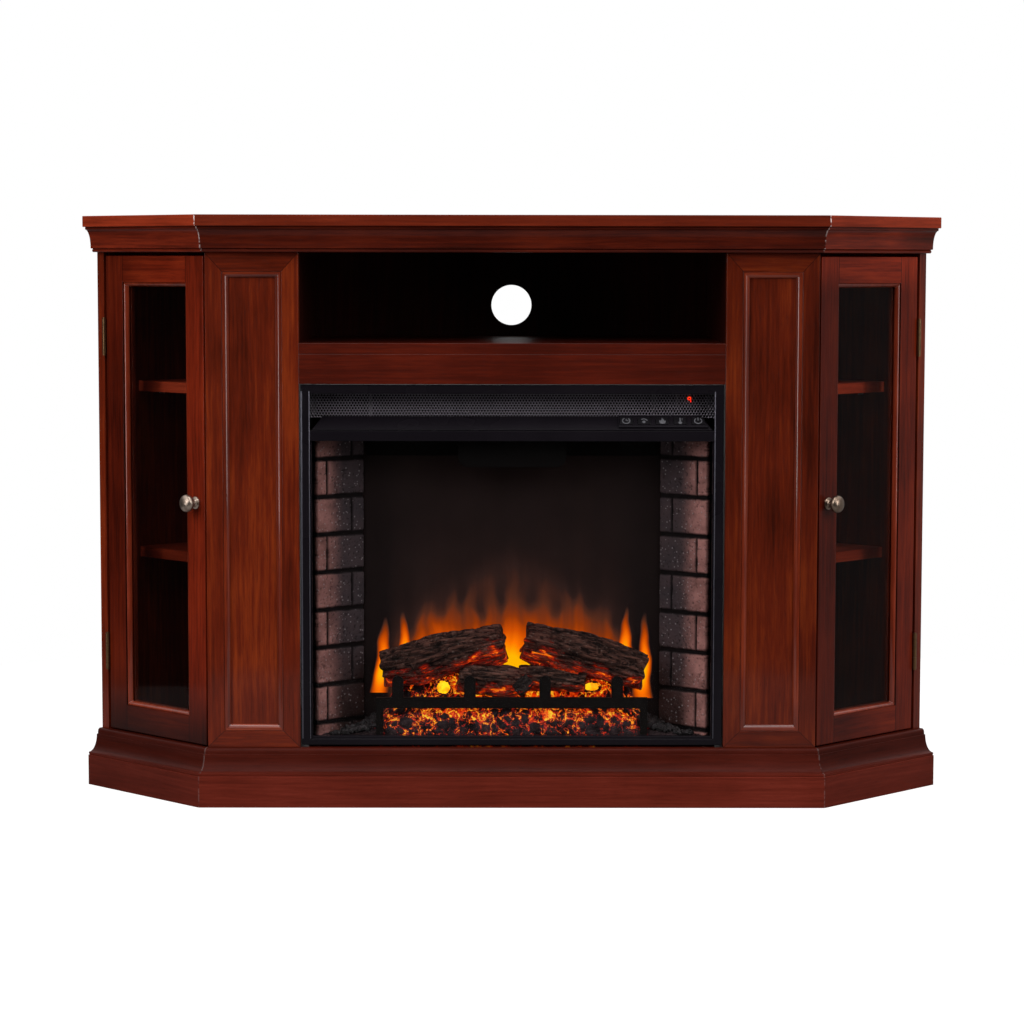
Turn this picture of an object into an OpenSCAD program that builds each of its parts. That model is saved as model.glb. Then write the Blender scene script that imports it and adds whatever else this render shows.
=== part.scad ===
// Corner fireplace: a media mantel with an angled glazed cabinet on each side
// and an electric log insert in its opening. Millimetres. +Z is up, the front
// faces -Y, and the origin is on the floor under the middle of the whole piece.

/* [Cabinet] */
// Width of each flat front pilaster
pilaster_w = 128.5; // [115:0.5:150]
// Width of each angled side wing, along its face
wing_w = 240; // [225:1:290]
// Angle between the front and each wing, degrees
wing_angle = 45; // [43:1:46]
// Depth from the front face of the body to its back
body_d = 374; // [360:1:420]
// Thickness of the main boards
board_t = 15; // [12:0.5:18]
// Thickness of the front frames and of the doors
frame_t = 18; // [17:0.5:20]
// Thickness of the back panels
back_t = 6; // [4:0.5:9]
// Radius of the cable hole in the back of the media bay
cable_hole_r = 30; // [20:1:40]
// Height of the base under the pilasters and doors
plinth_h = 80; // [70:1:100]
// How far the base stands out from the body
plinth_over = 26; // [22:1:26]
// Height of the rail over the insert
header_h = 41; // [30:1:50]
// Thickness of the media shelf
media_shelf_t = 15; // [15:1:25]
// Clear height of the media bay
media_h = 124; // [110:1:160]
// Height of the crown moulding
crown_h = 35.5; // [33:0.5:50]
// How far the crown stands out at its top
crown_over = 21; // [18:1:24]
// Thickness of the top board
top_t = 15.5; // [12:0.5:20]
// Overhang of the top board past the body
top_over = 26; // [26:1:32]

/* [Pilasters] */
// Width of the upright parts of each pilaster frame
pilaster_stile_w = 23.5; // [22:0.5:32]
// Height of the top rail of each pilaster frame
pilaster_rail_top = 26; // [20:1:40]
// Height of the bottom rail of each pilaster frame
pilaster_rail_bottom = 23; // [20:1:40]
// Width of the bead inside the frames
bead_w = 9; // [5:0.5:11]
// How far the flat panels lie behind the frame face
panel_recess = 7; // [5:0.5:8]
// Thickness of the flat panels
panel_t = 6; // [4:0.5:8]

/* [Doors and shelves] */
// Width of the beads that hold the glass
door_bead_w = 6; // [4:0.5:8]
// Gap between a door and the corner of the body
door_gap_free = 3; // [2:0.5:4]
// Gap above the door
door_gap_top = 5; // [3:0.5:8]
// Gap below the door
door_gap_bottom = 2; // [1.5:0.5:4]
// Width of the hinge gap between a door and its end panel
hinge_gap = 5; // [5:0.1:6]
// Width of the door stiles
door_stile_w = 38; // [32:1:45]
// Height of the top and bottom door rails
door_rail_h = 37; // [32:1:50]
// Thickness of the door glass
door_glass_t = 3; // [3:0.5:4]
// Depth of the door glass behind the door face
door_glass_in = 8; // [7.5:0.5:9]
// Clearance round each pane of glass
glass_gap = 0.3; // [0.2:0.1:0.5]
// Height of the middle of the knobs above the floor
knob_z = 419; // [300:1:520]
// Radius of the knob's head
knob_r = 12.3; // [10:0.1:14]
// How far the knob stands out from the door
knob_l = 24; // [20:1:30]
// Thickness of the adjustable shelves
shelf_t = 15; // [12:1:20]
// Height of the upper shelf's underside above the floor
shelf_upper_z = 565; // [500:1:620]
// Height of the lower shelf's underside above the floor
shelf_lower_z = 325; // [250:1:400]
// How far the shelves lie behind the wing face
shelf_setback = 60; // [50:1:80]
// Radius of the shelf pins
shelf_pin_r = 2.5; // [2:0.25:3]

/* [Hinges] */
// Height of each butt hinge
hinge_h = 51; // [45:1:70]
// Radius of the hinge barrel
hinge_r = 3; // [2.8:0.1:3]
// Radius of the hinge pin
hinge_pin_r = 1.5; // [1.2:0.1:1.7]
// How far the hinge axis stands out from the wing face
hinge_out = 2.2; // [2.2:0.1:2.6]
// Thickness of each hinge leaf
leaf_t = 1.2; // [1:0.1:1.4]
// Depth of each hinge leaf
leaf_d = 14; // [10:1:16]
// Height of the upper hinge's middle above the floor
hinge_upper_z = 644.5; // [560:1:690]
// Height of the lower hinge's middle above the floor
hinge_lower_z = 193.5; // [150:1:260]

/* [Insert] */
// Width of the insert's trim frame
insert_w = 582; // [560:1:620]
// Height of the insert's trim frame
insert_h = 500; // [480:1:540]
// Gap between the trim frame and the opening, at each side
insert_gap_side = 2; // [1:0.5:4]
// Gap between the trim frame and the rail over it
insert_gap_top = 1; // [1:0.5:4]
// Height of the trim frame above the deck
insert_lift = 3; // [2:0.5:5]
// How far the trim frame lies behind the front face
trim_recess = 2; // [0:0.5:4]
// Depth of the trim frame
trim_t = 18; // [16:1:20]
// Width of the trim frame's face at the sides
trim_face_w = 11; // [9:1:14]
// Height of the trim frame's face at the bottom
trim_face_bottom = 8; // [6:1:12]
// Height of the trim frame's face at the top
trim_face_top = 12; // [10:1:16]
// Width of the step inside the trim frame
trim_step = 4; // [3:0.5:5]
// Height of the perforated air outlet
grille_h = 32; // [28:1:40]
// Height of the sloping deflector under the outlet
slope_h = 19; // [17:1:22]
// Depth of the sloping deflector
slope_d = 22; // [20:1:26]
// Height of the flat bar over the glass
mid_bar_h = 14.5; // [12:0.5:20]
// Thickness of the front glass
front_glass_t = 3; // [2:0.5:4]
// Depth of the insert's casing behind the trim frame
casing_d = 184; // [170:1:200]
// Thickness of the insert's sheet metal
sheet_t = 1.5; // [1:0.1:2]
// Radius of the holes in the air outlet
perforation_r = 3.4; // [2.5:0.1:3.6]
// Spacing of the holes in the air outlet
perforation_pitch = 10; // [9:0.5:12]

/* [Controls] */
// Spacing of the five keys
key_pitch = 24.8; // [22:0.2:26]
// Width of each key
key_w = 18; // [14:0.5:20]
// Length of each key along the slope
key_l = 13; // [10:0.5:15]
// Thickness of the control strip
strip_t = 3; // [2.5:0.1:4]
// Clearance round each key
key_gap = 0.4; // [0.3:0.05:0.6]
// Travel of each key
key_travel = 0.8; // [0.5:0.1:1]
// Distance from the edge of the insert's window to the middle key
key_inset = 73.3; // [73:0.1:82]

/* [Fire] */
// Length of the splayed brick panels, front to back
brick_panel_d = 50; // [45:1:55]
// Inward splay of the brick panels
brick_splay = 61; // [50:1:65]
// Thickness of the brick panels
brick_panel_t = 8; // [6:0.5:12]
// Height of one course of bricks
course_h = 53.4; // [45:0.1:60]
// Width of the mortar joints
mortar_w = 6; // [4:0.5:9]
// How far the bricks stand out of the mortar
brick_relief = 2.5; // [1.5:0.5:4]
// Thickness of the flame screen
screen_t = 3; // [2:0.5:4]
// Width of the bare strip at each side of the heap of embers
ember_margin = 89; // [81:1:101]
// Height of the middle of the ember bed
ember_h = 44; // [36:1:50]
// Height of the bare edge of the ember bed
ember_base_h = 10; // [8:1:14]
// How much the heap of embers rises towards the back
ember_rise = 22; // [10:1:26]
// Radius of the flame rotor's vanes
rotor_r = 22; // [18:1:26]
// Radius of the rotor and blower shafts
shaft_r = 3; // [2.5:0.1:4]
// Running clearance of the shafts and hinge pins
run_gap = 0.05; // [0.03:0.01:0.08]
// Radius of the blower wheel
blower_r = 23; // [20:1:25]
// Number of blades on the blower wheel
blower_blades = 16; // [12:1:20]
// Half-length of the blower wheel
blower_half = 130; // [110:1:150]
// Radius of the hole for the supply cord
cord_r = 3.6; // [3:0.1:4.5]

/* [Hidden] */
$fn = 48;
e = 0.01;
mahogany = [0.33, 0.09, 0.045];
mahogany_dark = [0.2, 0.05, 0.03];
trim_black = [0.05, 0.05, 0.06];
steel_grey = [0.45, 0.46, 0.48];
old_nickel = [0.5, 0.45, 0.38];
brick_brown = [0.38, 0.27, 0.24];

// Plan of the body, front to back
half_open = insert_w / 2 + insert_gap_side;
half_front = half_open + pilaster_w;
front_y = (top_over - body_d) / 2;
back_y = front_y + body_d;
mitre = tan(wing_angle / 2);
joint_gap = 0.1;
wing_dir = [cos(wing_angle), sin(wing_angle)];
wing_out = [sin(wing_angle), -cos(wing_angle)];
corner = [half_front, front_y];
function wing_point(u, v) = corner + u * wing_dir - v * wing_out;
// A point on the line across the wing at distance u, at depth y
function across(u, y) = let (p = wing_point(u, 0)) [p.x - (y - p.y) * tan(wing_angle), y];
door_u1 = wing_w - board_t - hinge_gap;
door_w = door_u1 - door_gap_free;
panel_u = wing_w - board_t;

// Heights
insert_z = plinth_h + insert_lift;
header_z = insert_z + insert_h + insert_gap_top;
media_shelf_z = header_z + header_h;
media_z = media_shelf_z + media_shelf_t;
crown_z = media_z + media_h;
top_z = crown_z + crown_h;
door_z = plinth_h + door_gap_bottom;
door_h = crown_z - door_gap_top - door_z;

// Hinges: the axis lies in the middle of the hinge gap
hinge_u = door_u1 + hinge_gap / 2;
knuckle_gap = 0.2;
knuckle_h = (hinge_h - 2 * knuckle_gap) / 3;
hinge_zs = [hinge_lower_z - hinge_h / 2, hinge_upper_z - hinge_h / 2];
catch_gap = 0.5;
catch_w = 16;
catch_h = 44;
catch_d = 12;
strike_t = 1;
post_w = 20;
post_in = 15;
stop_gap = 1.5;

// Insert: v runs back from its front plane
insert_y = front_y + trim_recess;
insert_top = insert_z + insert_h;
half_insert = insert_w / 2;
half_window = half_insert - trim_face_w;
slope_z = insert_top - trim_face_top - grille_h - slope_h;
mid_bar_z = slope_z - mid_bar_h;
window_z = insert_z + trim_face_bottom;
step_in = 3;
glass_v = 12;
half_casing = half_insert - 8;
casing_top = insert_top - 4;
casing_v1 = trim_t + casing_d;
inner_half = half_casing - sheet_t;
floor_z = plinth_h + sheet_t;
roof_z = mid_bar_z + sheet_t;
slope_a = atan2(slope_h, slope_d);
slope_l = norm([slope_h, slope_d]);
grille_v = slope_d + 1;
grille_t = 1;
grille_lap = 4;
brick_v0 = 28;
brick_front_x = half_insert - 20;
brick_v1 = brick_v0 + brick_panel_d;
brick_back_x = brick_front_x - brick_splay;
// Half-width of the heap of embers
ember_half_w = brick_front_x - ember_margin;
brick_a = atan2(brick_panel_d, brick_splay);
brick_len = norm([brick_panel_d, brick_splay]);
brick_z1 = roof_z - sheet_t;
screen_v = brick_v1 + 4;
deflector_taper = 14;
strip_margin = 6;
strip_y0 = 5;
strip_y1 = slope_l - 1;
key_rest = strip_t + 0.5;
rotor_v = screen_v + screen_t + rotor_r + 12;
rotor_z = floor_z + 70;
rotor_half = 170;
blower_v = grille_v + 78;
blower_z = (roof_z + casing_top) / 2 + 2;
duct_half = blower_half + 70;
duct_v0 = grille_v + 18;
duct_v1 = blower_v + blower_r + 12;
duct_z0 = roof_z + 8;
duct_z1 = casing_top - sheet_t;

// ---- helpers ----

// Points of an elliptical quarter arc from angle a0 to a1 about a centre
function arc(c, rx, ry, a0, a1, n = 8) =
    [for (i = [0:n]) let (a = a0 + (a1 - a0) * i / n) [c.x + rx * cos(a), c.y + ry * sin(a)]];

// Puts a child, drawn as on the front face, on the left or right wing
module on_wing(side) {
    mirror([side < 0 ? 1 : 0, 0, 0]) translate([corner.x, corner.y, 0]) rotate([0, 0, wing_angle]) children();
}

module both_sides() {
    children();
    mirror([1, 0, 0]) children();
}

// Extrudes a profile of [depth, height] points along X, from x0 to x1
module along_x(profile, x0, x1) {
    translate([x0, 0, 0]) rotate([90, 0, 90]) linear_extrude(x1 - x0) polygon(profile);
}

// A moulding run whose ends are cut in plan: cut0 and cut1 are the slopes of the ends
module mitred_run(profile, x0, x1, cut0, cut1, reach, z1) {
    intersection() {
        along_x(profile, x0 - reach, x1 + reach);
        translate([0, 0, -1]) linear_extrude(z1 + 2)
            polygon([[x0 + reach * cut0, -reach], [x1 - reach * cut1, -reach],
                [x1 + reach * cut1, reach], [x0 - reach * cut0, reach]]);
    }
}

// The three runs of a moulding round the front: wing, front, wing
module round_front(profile, z1) {
    reach = 60;
    translate([0, front_y, 0])
        mitred_run(profile, -half_front + joint_gap, half_front - joint_gap, -mitre, -mitre, reach, z1);
    for (side = [-1, 1]) on_wing(side) mitred_run(profile, joint_gap, wing_w, -mitre, 0, reach, z1);
}

// Three flat boards round the front, in plan, from z0 up by h and t thick
module board_round_front(z0, h, t) {
    half = half_front - joint_gap;
    translate([0, 0, z0]) linear_extrude(h)
        polygon([[-half, front_y], [half, front_y],
            [half - t * mitre, front_y + t], [-half + t * mitre, front_y + t]]);
    for (side = [-1, 1]) on_wing(side) translate([0, 0, z0]) linear_extrude(h)
        polygon([[joint_gap, 0], [panel_u, 0], [panel_u, t], [t * mitre + joint_gap, t]]);
}

// Four mitred bead runs inside an opening w by h, drawn in XZ with depth along Y
module bead_frame(w, h, bw, y0, y1, round_bead) {
    profile = round_bead
        ? concat([[y1, 0], [y0, 0]], arc([y1 + 1, 0], y1 + 1 - y0, bw, 180, 106), [[y1, bw]])
        : [[y1, 0], [y0, 0], [y0, bw], [y1, bw]];
    for (k = [0, 1]) translate([k * w, 0, k * h]) rotate([0, k * 180, 0]) bead_run(profile, w, bw);
    for (k = [0, 1]) translate([k * w, 0, (1 - k) * h]) rotate([0, k ? -90 : 90, 0]) bead_run(profile, h, bw);
}

module bead_run(profile, l, bw) {
    reach = 40;
    intersection() {
        along_x(profile, 0, l);
        translate([0, reach, 0]) rotate([90, 0, 0]) linear_extrude(2 * reach)
            polygon([[0, 0], [l, 0], [l - bw, bw], [bw, bw]]);
    }
}

// A box between two corners
module box(a, b) {
    translate(a) cube(b - a);
}

// ---- cabinet ----

// Outline of the body moved out by over at the front and on the wings
function body_outline(over, u1, y1) =
    let (e1 = wing_point(u1, -over), b1 = across(u1, y1))
    [[-corner.x - over * mitre, front_y - over], [corner.x + over * mitre, front_y - over],
        e1, b1, [-b1.x, b1.y], [-e1.x, e1.y]];

module top_board() {
    color(mahogany) translate([0, 0, top_z]) linear_extrude(top_t)
        polygon(body_outline(top_over, wing_w, back_y));
}

module crown_moulding() {
    lip = 3.5;
    cove_w = 9.3;
    cove_foot = crown_over - cove_w;
    foot_z = crown_z + 6.7;
    bead_r = 2.4;
    bead_out = 9;
    profile = concat([[0, top_z], [-crown_over, top_z], [-crown_over, top_z - lip]],
        arc([-crown_over, foot_z], cove_w, top_z - lip - foot_z, 90, 0),
        [[-cove_foot, foot_z - 1.2], [-bead_out + 1.4, crown_z + 2 * bead_r]],
        arc([-bead_out + bead_r, crown_z + bead_r], bead_r, bead_r, 120, 270, 6), [[0, crown_z]]);
    color(mahogany) round_front(profile, top_z);
}

module front_rails() {
    color(mahogany) {
        board_round_front(crown_z, crown_h, frame_t);
        box([-half_open, front_y, header_z], [half_open, front_y + frame_t, media_shelf_z]);
    }
}

module base_frame() {
    rail_h = plinth_h - board_t;
    inner = across(panel_u, back_y - board_t).x;
    color(mahogany_dark) {
        board_round_front(0, rail_h, board_t);
        linear_extrude(rail_h) polygon([across(panel_u, back_y), across(panel_u, back_y - board_t),
            [-inner, back_y - board_t], [-across(panel_u, back_y).x, back_y]]);
        both_sides() box([half_open, front_y + board_t + joint_gap, 0],
            [half_open + board_t, back_y - board_t - joint_gap, rail_h]);
    }
}

module base_deck() {
    color(mahogany_dark) translate([0, 0, plinth_h - board_t]) linear_extrude(board_t)
        polygon(body_outline(0, panel_u, back_y));
}

module plinth_moulding() {
    face_h = plinth_h - 37.2;
    quirk = plinth_over - 1.8;
    lip = plinth_over - 1;
    cove_top = plinth_over - 1.6;
    cove_z = face_h + 4.4;
    cove_foot = 10.5;
    cap_z = plinth_h - 8.2;
    cap_r = [4, 5.5];
    cap_out = 4.5;
    profile = concat([[0, 0], [-plinth_over, 0], [-plinth_over, face_h],
            [-quirk, face_h + 0.5], [-quirk, face_h + 1.4], [-lip, face_h + 1.8], [-lip, cove_z]],
        arc([-cove_top, cap_z], cove_top - cove_foot, cap_z - cove_z, 270, 360),
        [[-cap_out - cap_r.x, cap_z]],
        arc([-cap_out, plinth_h - cap_r.y], cap_r.x, cap_r.y, 180, 90, 5), [[0, plinth_h]]);
    color(mahogany) round_front(profile, plinth_h);
}

module pilaster_frames() {
    h = crown_z - plinth_h;
    x0 = half_open + pilaster_stile_w;
    x1 = half_front - pilaster_stile_w;
    y1 = front_y + frame_t;
    color(mahogany) both_sides() {
        box([half_open, front_y, plinth_h], [x0, y1, crown_z]);
        translate([0, 0, plinth_h]) linear_extrude(h)
            polygon([[x1, front_y], [half_front, front_y],
                [half_front - frame_t * tan(wing_angle), y1], [x1, y1]]);
        for (z = [[plinth_h, plinth_h + pilaster_rail_bottom], [crown_z - pilaster_rail_top, crown_z]])
            box([x0, front_y, z[0]], [x1, y1, z[1]]);
    }
}

pilaster_open_w = pilaster_w - 2 * pilaster_stile_w;
pilaster_open_z = plinth_h + pilaster_rail_bottom;
pilaster_open_h = crown_z - pilaster_rail_top - pilaster_open_z;

module pilaster_panels() {
    y0 = front_y + panel_recess;
    color(mahogany) both_sides() translate([half_open + pilaster_stile_w, y0, pilaster_open_z])
        cube([pilaster_open_w, panel_t, pilaster_open_h]);
}

module pilaster_beads() {
    color(mahogany) both_sides() translate([half_open + pilaster_stile_w, front_y, pilaster_open_z])
        bead_frame(pilaster_open_w, pilaster_open_h, bead_w, 1, panel_recess, true);
}

module media_shelf() {
    color(mahogany) box([-half_open, front_y, media_shelf_z], [half_open, back_y - back_t, media_z]);
}

// Places of the shelf pins: [wall, distance, height]
pin_zs = [shelf_lower_z - shelf_pin_r - 0.1, shelf_upper_z - shelf_pin_r - 0.1];
pin_ys = [front_y + 90, back_y - 60];
pin_vs = [shelf_setback + 40, shelf_setback + 170];
pin_l = 8;

// The pins of the right-hand cabinet, grown by g at their sides
module pins_right(g, sink) {
    for (z = pin_zs) {
        for (y = pin_ys) translate([half_open + board_t - sink, y, z]) rotate([0, 90, 0])
            cylinder(r = shelf_pin_r + g, h = sink + pin_l);
        for (v = pin_vs) on_wing(1) translate([panel_u + sink, v, z]) rotate([0, -90, 0])
            cylinder(r = shelf_pin_r + g, h = sink + pin_l);
    }
}

module inner_partitions() {
    color(mahogany_dark) both_sides() difference() {
        box([half_open, front_y + frame_t, plinth_h], [half_open + board_t, back_y - back_t, top_z]);
        pins_right(0.05, pin_l);
    }
}

module end_panels() {
    color(mahogany) both_sides() difference() {
        linear_extrude(top_z)
            polygon([wing_point(panel_u, 0), wing_point(wing_w, 0), across(wing_w, back_y),
                across(panel_u, back_y)]);
        pins_right(0.05, pin_l);
    }
}

module back_panel() {
    seam_x = half_open + board_t / 2;
    side_x = seam_x + 0.2;
    y0 = back_y - back_t;
    hole_z = media_z + 46.6;
    color(mahogany_dark) {
        difference() {
            box([-seam_x, y0, media_shelf_z], [seam_x, back_y, top_z]);
            translate([0, back_y + 1, hole_z]) rotate([90, 0, 0])
                cylinder(r = cable_hole_r, h = back_t + 2, $fn = 96);
        }
        both_sides() translate([0, 0, plinth_h]) linear_extrude(top_z - plinth_h)
            polygon([[side_x, y0], across(panel_u, y0), across(panel_u, back_y), [side_x, back_y]]);
    }
}

// Upright posts behind the corners, which also stop the doors
module corner_posts() {
    foot = frame_t / cos(wing_angle);
    v0 = frame_t + stop_gap;
    v1 = (frame_t + post_in * sin(wing_angle)) / cos(wing_angle);
    color(mahogany_dark) for (side = [-1, 1]) on_wing(side) translate([0, 0, plinth_h])
        linear_extrude(crown_z - plinth_h)
            polygon([[0, v0], [post_w, v0], [post_w, v1], [-post_in, v1], [0, foot]]);
}

module cabinet_shelves() {
    gap = 0.5;
    x0 = half_open + board_t + gap;
    front_v = frame_t + 20;
    front_u = (front_v - shelf_setback * cos(wing_angle)) / sin(wing_angle);
    y1 = back_y - back_t - gap;
    color(mahogany_dark) both_sides() for (z = [shelf_lower_z, shelf_upper_z])
        translate([0, 0, z]) linear_extrude(shelf_t)
            polygon([[x0, front_y + front_v], wing_point(front_u, shelf_setback),
                wing_point(panel_u - gap, shelf_setback), across(panel_u - gap, y1), [x0, y1]]);
}

module shelf_pins() {
    color(steel_grey) both_sides() pins_right(0, pin_l - 0.5);
}

// Magnet housings on the back of the corner posts' door side
module magnet_catches() {
    z0 = plinth_h + door_h / 2;
    v0 = frame_t + strike_t + catch_gap;
    color(steel_grey) for (side = [-1, 1]) on_wing(side)
        box([post_w, v0, z0], [post_w + catch_w, v0 + catch_d, z0 + catch_h]);
}

// ---- doors, drawn on the wing face: X along the wing, Y into the cabinet ----

module door_frame() {
    u0 = door_gap_free + door_stile_w;
    u1 = door_u1 - door_stile_w;
    color(mahogany) {
        for (u = [door_gap_free, u1]) box([u, 0, door_z], [u + door_stile_w, frame_t, door_z + door_h]);
        for (z = [door_z, door_z + door_h - door_rail_h]) box([u0, 0, z], [u1, frame_t, z + door_rail_h]);
    }
}

pane_w = door_w - 2 * door_stile_w;
pane_h = door_h - 2 * door_rail_h;

// Round beads in front of the glass and square stops behind it
module door_beads() {
    y1 = door_glass_in + door_glass_t;
    color(mahogany) translate([door_gap_free + door_stile_w, 0, door_z + door_rail_h]) {
        bead_frame(pane_w, pane_h, door_bead_w, 1.5, door_glass_in, true);
        bead_frame(pane_w, pane_h, door_bead_w, y1, y1 + 6, false);
    }
}

module door_glass() {
    color([0.1, 0.1, 0.1, 0.4])
        translate([door_gap_free + door_stile_w + glass_gap, door_glass_in, door_z + door_rail_h + glass_gap])
            cube([pane_w - 2 * glass_gap, door_glass_t, pane_h - 2 * glass_gap]);
}

module door_knob() {
    rose_r = 8.5;
    neck_r = 5;
    head_t = 12;
    neck_l = knob_l - head_t;
    rim = [2.5, 4.5];
    rim_z = neck_l + rim.y;
    flare = concat([[0, 0], [rose_r, 0], [rose_r, 1.5], [neck_r + 1, 3], [neck_r, 5], [neck_r, neck_l]],
        arc([knob_r - rim.x, rim_z], rim.x, rim.y, -80, 0, 4),
        arc([0, rim_z], knob_r, knob_l - rim_z, 8, 82, 6), [[0, knob_l]]);
    color(old_nickel) translate([door_gap_free + door_stile_w / 2, 0, knob_z]) rotate([90, 0, 0])
        rotate_extrude() polygon(flare);
}

// A leaf's plate and its barrel. side is -1 on the door and 1 on the end panel,
// and spans holds the bottom and top of each of the leaf's knuckles
module hinge_leaf(side, spans, bore) {
    gap = hinge_gap / 2;
    for (z0 = hinge_zs) translate([hinge_u, -hinge_out, z0]) {
        x = side > 0 ? gap - leaf_t : -gap;
        top = hinge_r + 0.3;
        box([x, top, 0], [x + leaf_t, top + leaf_d, hinge_h]);
        for (s = spans) difference() {
            union() {
                translate([0, 0, s[0]]) cylinder(r = hinge_r, h = s[1] - s[0]);
                box([x, 0, s[0]], [x + leaf_t, top + e, s[1]]);
            }
            if (bore) translate([0, 0, -1]) cylinder(r = hinge_pin_r + run_gap, h = hinge_h + 2);
        }
    }
}

module door_hinge_leaves() {
    color(old_nickel) hinge_leaf(-1, [[knuckle_h + knuckle_gap, 2 * knuckle_h + knuckle_gap]], true);
}

// The end panels' leaves, each with the pin that both barrels share
module case_hinge_leaves() {
    cap_h = 1.5;
    color(old_nickel) for (side = [-1, 1]) on_wing(side) {
        hinge_leaf(1, [[0, knuckle_h], [hinge_h - knuckle_h, hinge_h]], false);
        for (z0 = hinge_zs) translate([hinge_u, -hinge_out, z0 + knuckle_h - 1])
            cylinder(r = hinge_pin_r, h = knuckle_h + 2 * knuckle_gap + 2);
        for (z0 = hinge_zs) for (z = [-cap_h, hinge_h]) translate([hinge_u, -hinge_out, z0 + z])
            cylinder(r = hinge_r - 0.7, h = cap_h);
    }
}

module strike_plate() {
    z0 = plinth_h + door_h / 2;
    edge = [1, 4];
    color(steel_grey) box([post_w + edge.x, frame_t, z0 + edge.y],
        [post_w + catch_w - edge.x, frame_t + strike_t, z0 + catch_h - edge.y]);
}

// ---- insert ----

module at_insert() {
    translate([0, insert_y, 0]) children();
}

// Draws on the sloping deflector: X along it, Y up the slope, Z out of it
module on_slope() {
    at_insert() translate([0, 0, slope_z]) rotate([slope_a, 0, 0]) children();
}

module trim_frame() {
    half_step = half_window - trim_step;
    color(trim_black) at_insert() {
        for (side = [0, 1]) mirror([side, 0, 0]) {
            box([half_window, 0, window_z], [half_insert, trim_t, insert_top - trim_face_top]);
            box([half_step, step_in, window_z + trim_step], [half_window, glass_v, mid_bar_z]);
        }
        box([-half_insert, 0, insert_z], [half_insert, trim_t, window_z]);
        box([-half_insert, 0, insert_top - trim_face_top], [half_insert, trim_t, insert_top]);
        box([-half_window, step_in, window_z], [half_window, glass_v, window_z + trim_step]);
        box([-half_window, 0, mid_bar_z], [half_window, glass_v, slope_z]);
    }
}

module outlet_grille() {
    z0 = slope_z + slope_h - grille_lap;
    z1 = insert_top - trim_face_top + grille_lap;
    half = inner_half - glass_gap;
    row_h = perforation_pitch * sin(60);
    rows = floor((grille_h - grille_lap) / row_h);
    cols = floor((half_window - 3 * grille_lap) / perforation_pitch);
    zm = slope_z + slope_h + grille_h / 2;
    color(trim_black) at_insert() translate([0, grille_v + grille_t, 0]) rotate([90, 0, 0])
        linear_extrude(grille_t) difference() {
            translate([-half, z0]) square([2 * half, z1 - z0]);
            for (j = [0:rows - 1], i = [-cols:cols])
                translate([(i + (j % 2) / 2) * perforation_pitch, zm + (j - (rows - 1) / 2) * row_h])
                    circle(r = perforation_r, $fn = 6);
        }
}

module air_deflector() {
    half = half_window - trim_step;
    half_back = half - deflector_taper;
    front = sheet_t * 1.3;
    color(trim_black) on_slope() translate([0, 0, -sheet_t]) linear_extrude(sheet_t)
        polygon([[-half, front], [half, front], [half_back, slope_l], [-half_back, slope_l]]);
}

key_mid_x = half_window - key_inset;
key_xs = [for (i = [0:4]) key_mid_x + (i - 2) * key_pitch];
key_y = (strip_y0 + strip_y1) / 2;

module control_strip() {
    x0 = key_mid_x - 2 * key_pitch - key_pitch / 2 + 2;
    x1 = half_window - trim_step - strip_margin;
    color(trim_black) on_slope() linear_extrude(strip_t) difference() {
        polygon([[x0, strip_y0], [x1, strip_y0], [x1 - deflector_taper * 0.7, strip_y1], [x0, strip_y1]]);
        for (x = key_xs) translate([x - key_w / 2 - key_gap, key_y - key_l / 2 - key_gap])
            square([key_w + 2 * key_gap, key_l + 2 * key_gap]);
    }
}

module key(i) {
    color(trim_black) on_slope() translate([key_xs[i], key_y, key_travel + 0.2])
        linear_extrude(key_rest - key_travel - 0.2) square([key_w, key_l], center = true);
}

module display_module() {
    x0 = half_window - 52;
    w = 28;
    v0 = grille_v + grille_t + 1;
    drop = 14;
    color([0.08, 0.02, 0.02]) at_insert()
        box([x0, v0, slope_z + slope_h + drop], [x0 + w, v0 + 12, duct_z1]);
}

module front_glass() {
    half = half_window - glass_gap;
    top_lap = 8;
    color([0.1, 0.1, 0.1, 0.3]) at_insert()
        box([-half, glass_v, window_z + glass_gap], [half, glass_v + front_glass_t, mid_bar_z + top_lap]);
}

// Five sheets: floor, roof, back and sides
module firebox_casing() {
    z0 = floor_z + joint_gap;
    z1 = casing_top - sheet_t - joint_gap;
    v1 = casing_v1 - sheet_t;
    color(steel_grey) at_insert() {
        box([-half_casing, trim_t, plinth_h], [half_casing, casing_v1, floor_z]);
        box([-half_casing, trim_t, casing_top - sheet_t], [half_casing, casing_v1, casing_top]);
        box([-half_casing, v1, z0], [half_casing, casing_v1, z1]);
        both_sides() box([inner_half, trim_t, z0], [half_casing, v1 - joint_gap, z1]);
    }
}

// A splayed side panel, drawn along its own face: X back along the panel, Y out of the face
module brick_panel() {
    courses = ceil((brick_z1 - floor_z) / course_h);
    split = [0.32, 0.62];
    bare_end = 4;
    color(brick_brown) at_insert() translate([brick_front_x, brick_v0, 0]) rotate([0, 0, 180 - brick_a]) {
        box([0, -brick_panel_t, floor_z], [brick_len, 0, brick_z1]);
        for (k = [0:courses - 1]) {
            z0 = floor_z + k * course_h + mortar_w / 2;
            z1 = min(z0 + course_h - mortar_w, brick_z1);
            joint = brick_len * split[k % 2];
            if (z1 > z0 + 2) {
                box([0, -e, z0], [joint - mortar_w / 2, brick_relief, z1]);
                box([joint + mortar_w / 2, -e, z0], [brick_len - bare_end, brick_relief, z1]);
            }
        }
    }
}

module flame_screen() {
    half = brick_back_x + 3;
    color([0.08, 0.05, 0.04]) at_insert()
        box([-half, screen_v, floor_z], [half, screen_v + screen_t, brick_z1]);
}

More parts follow.
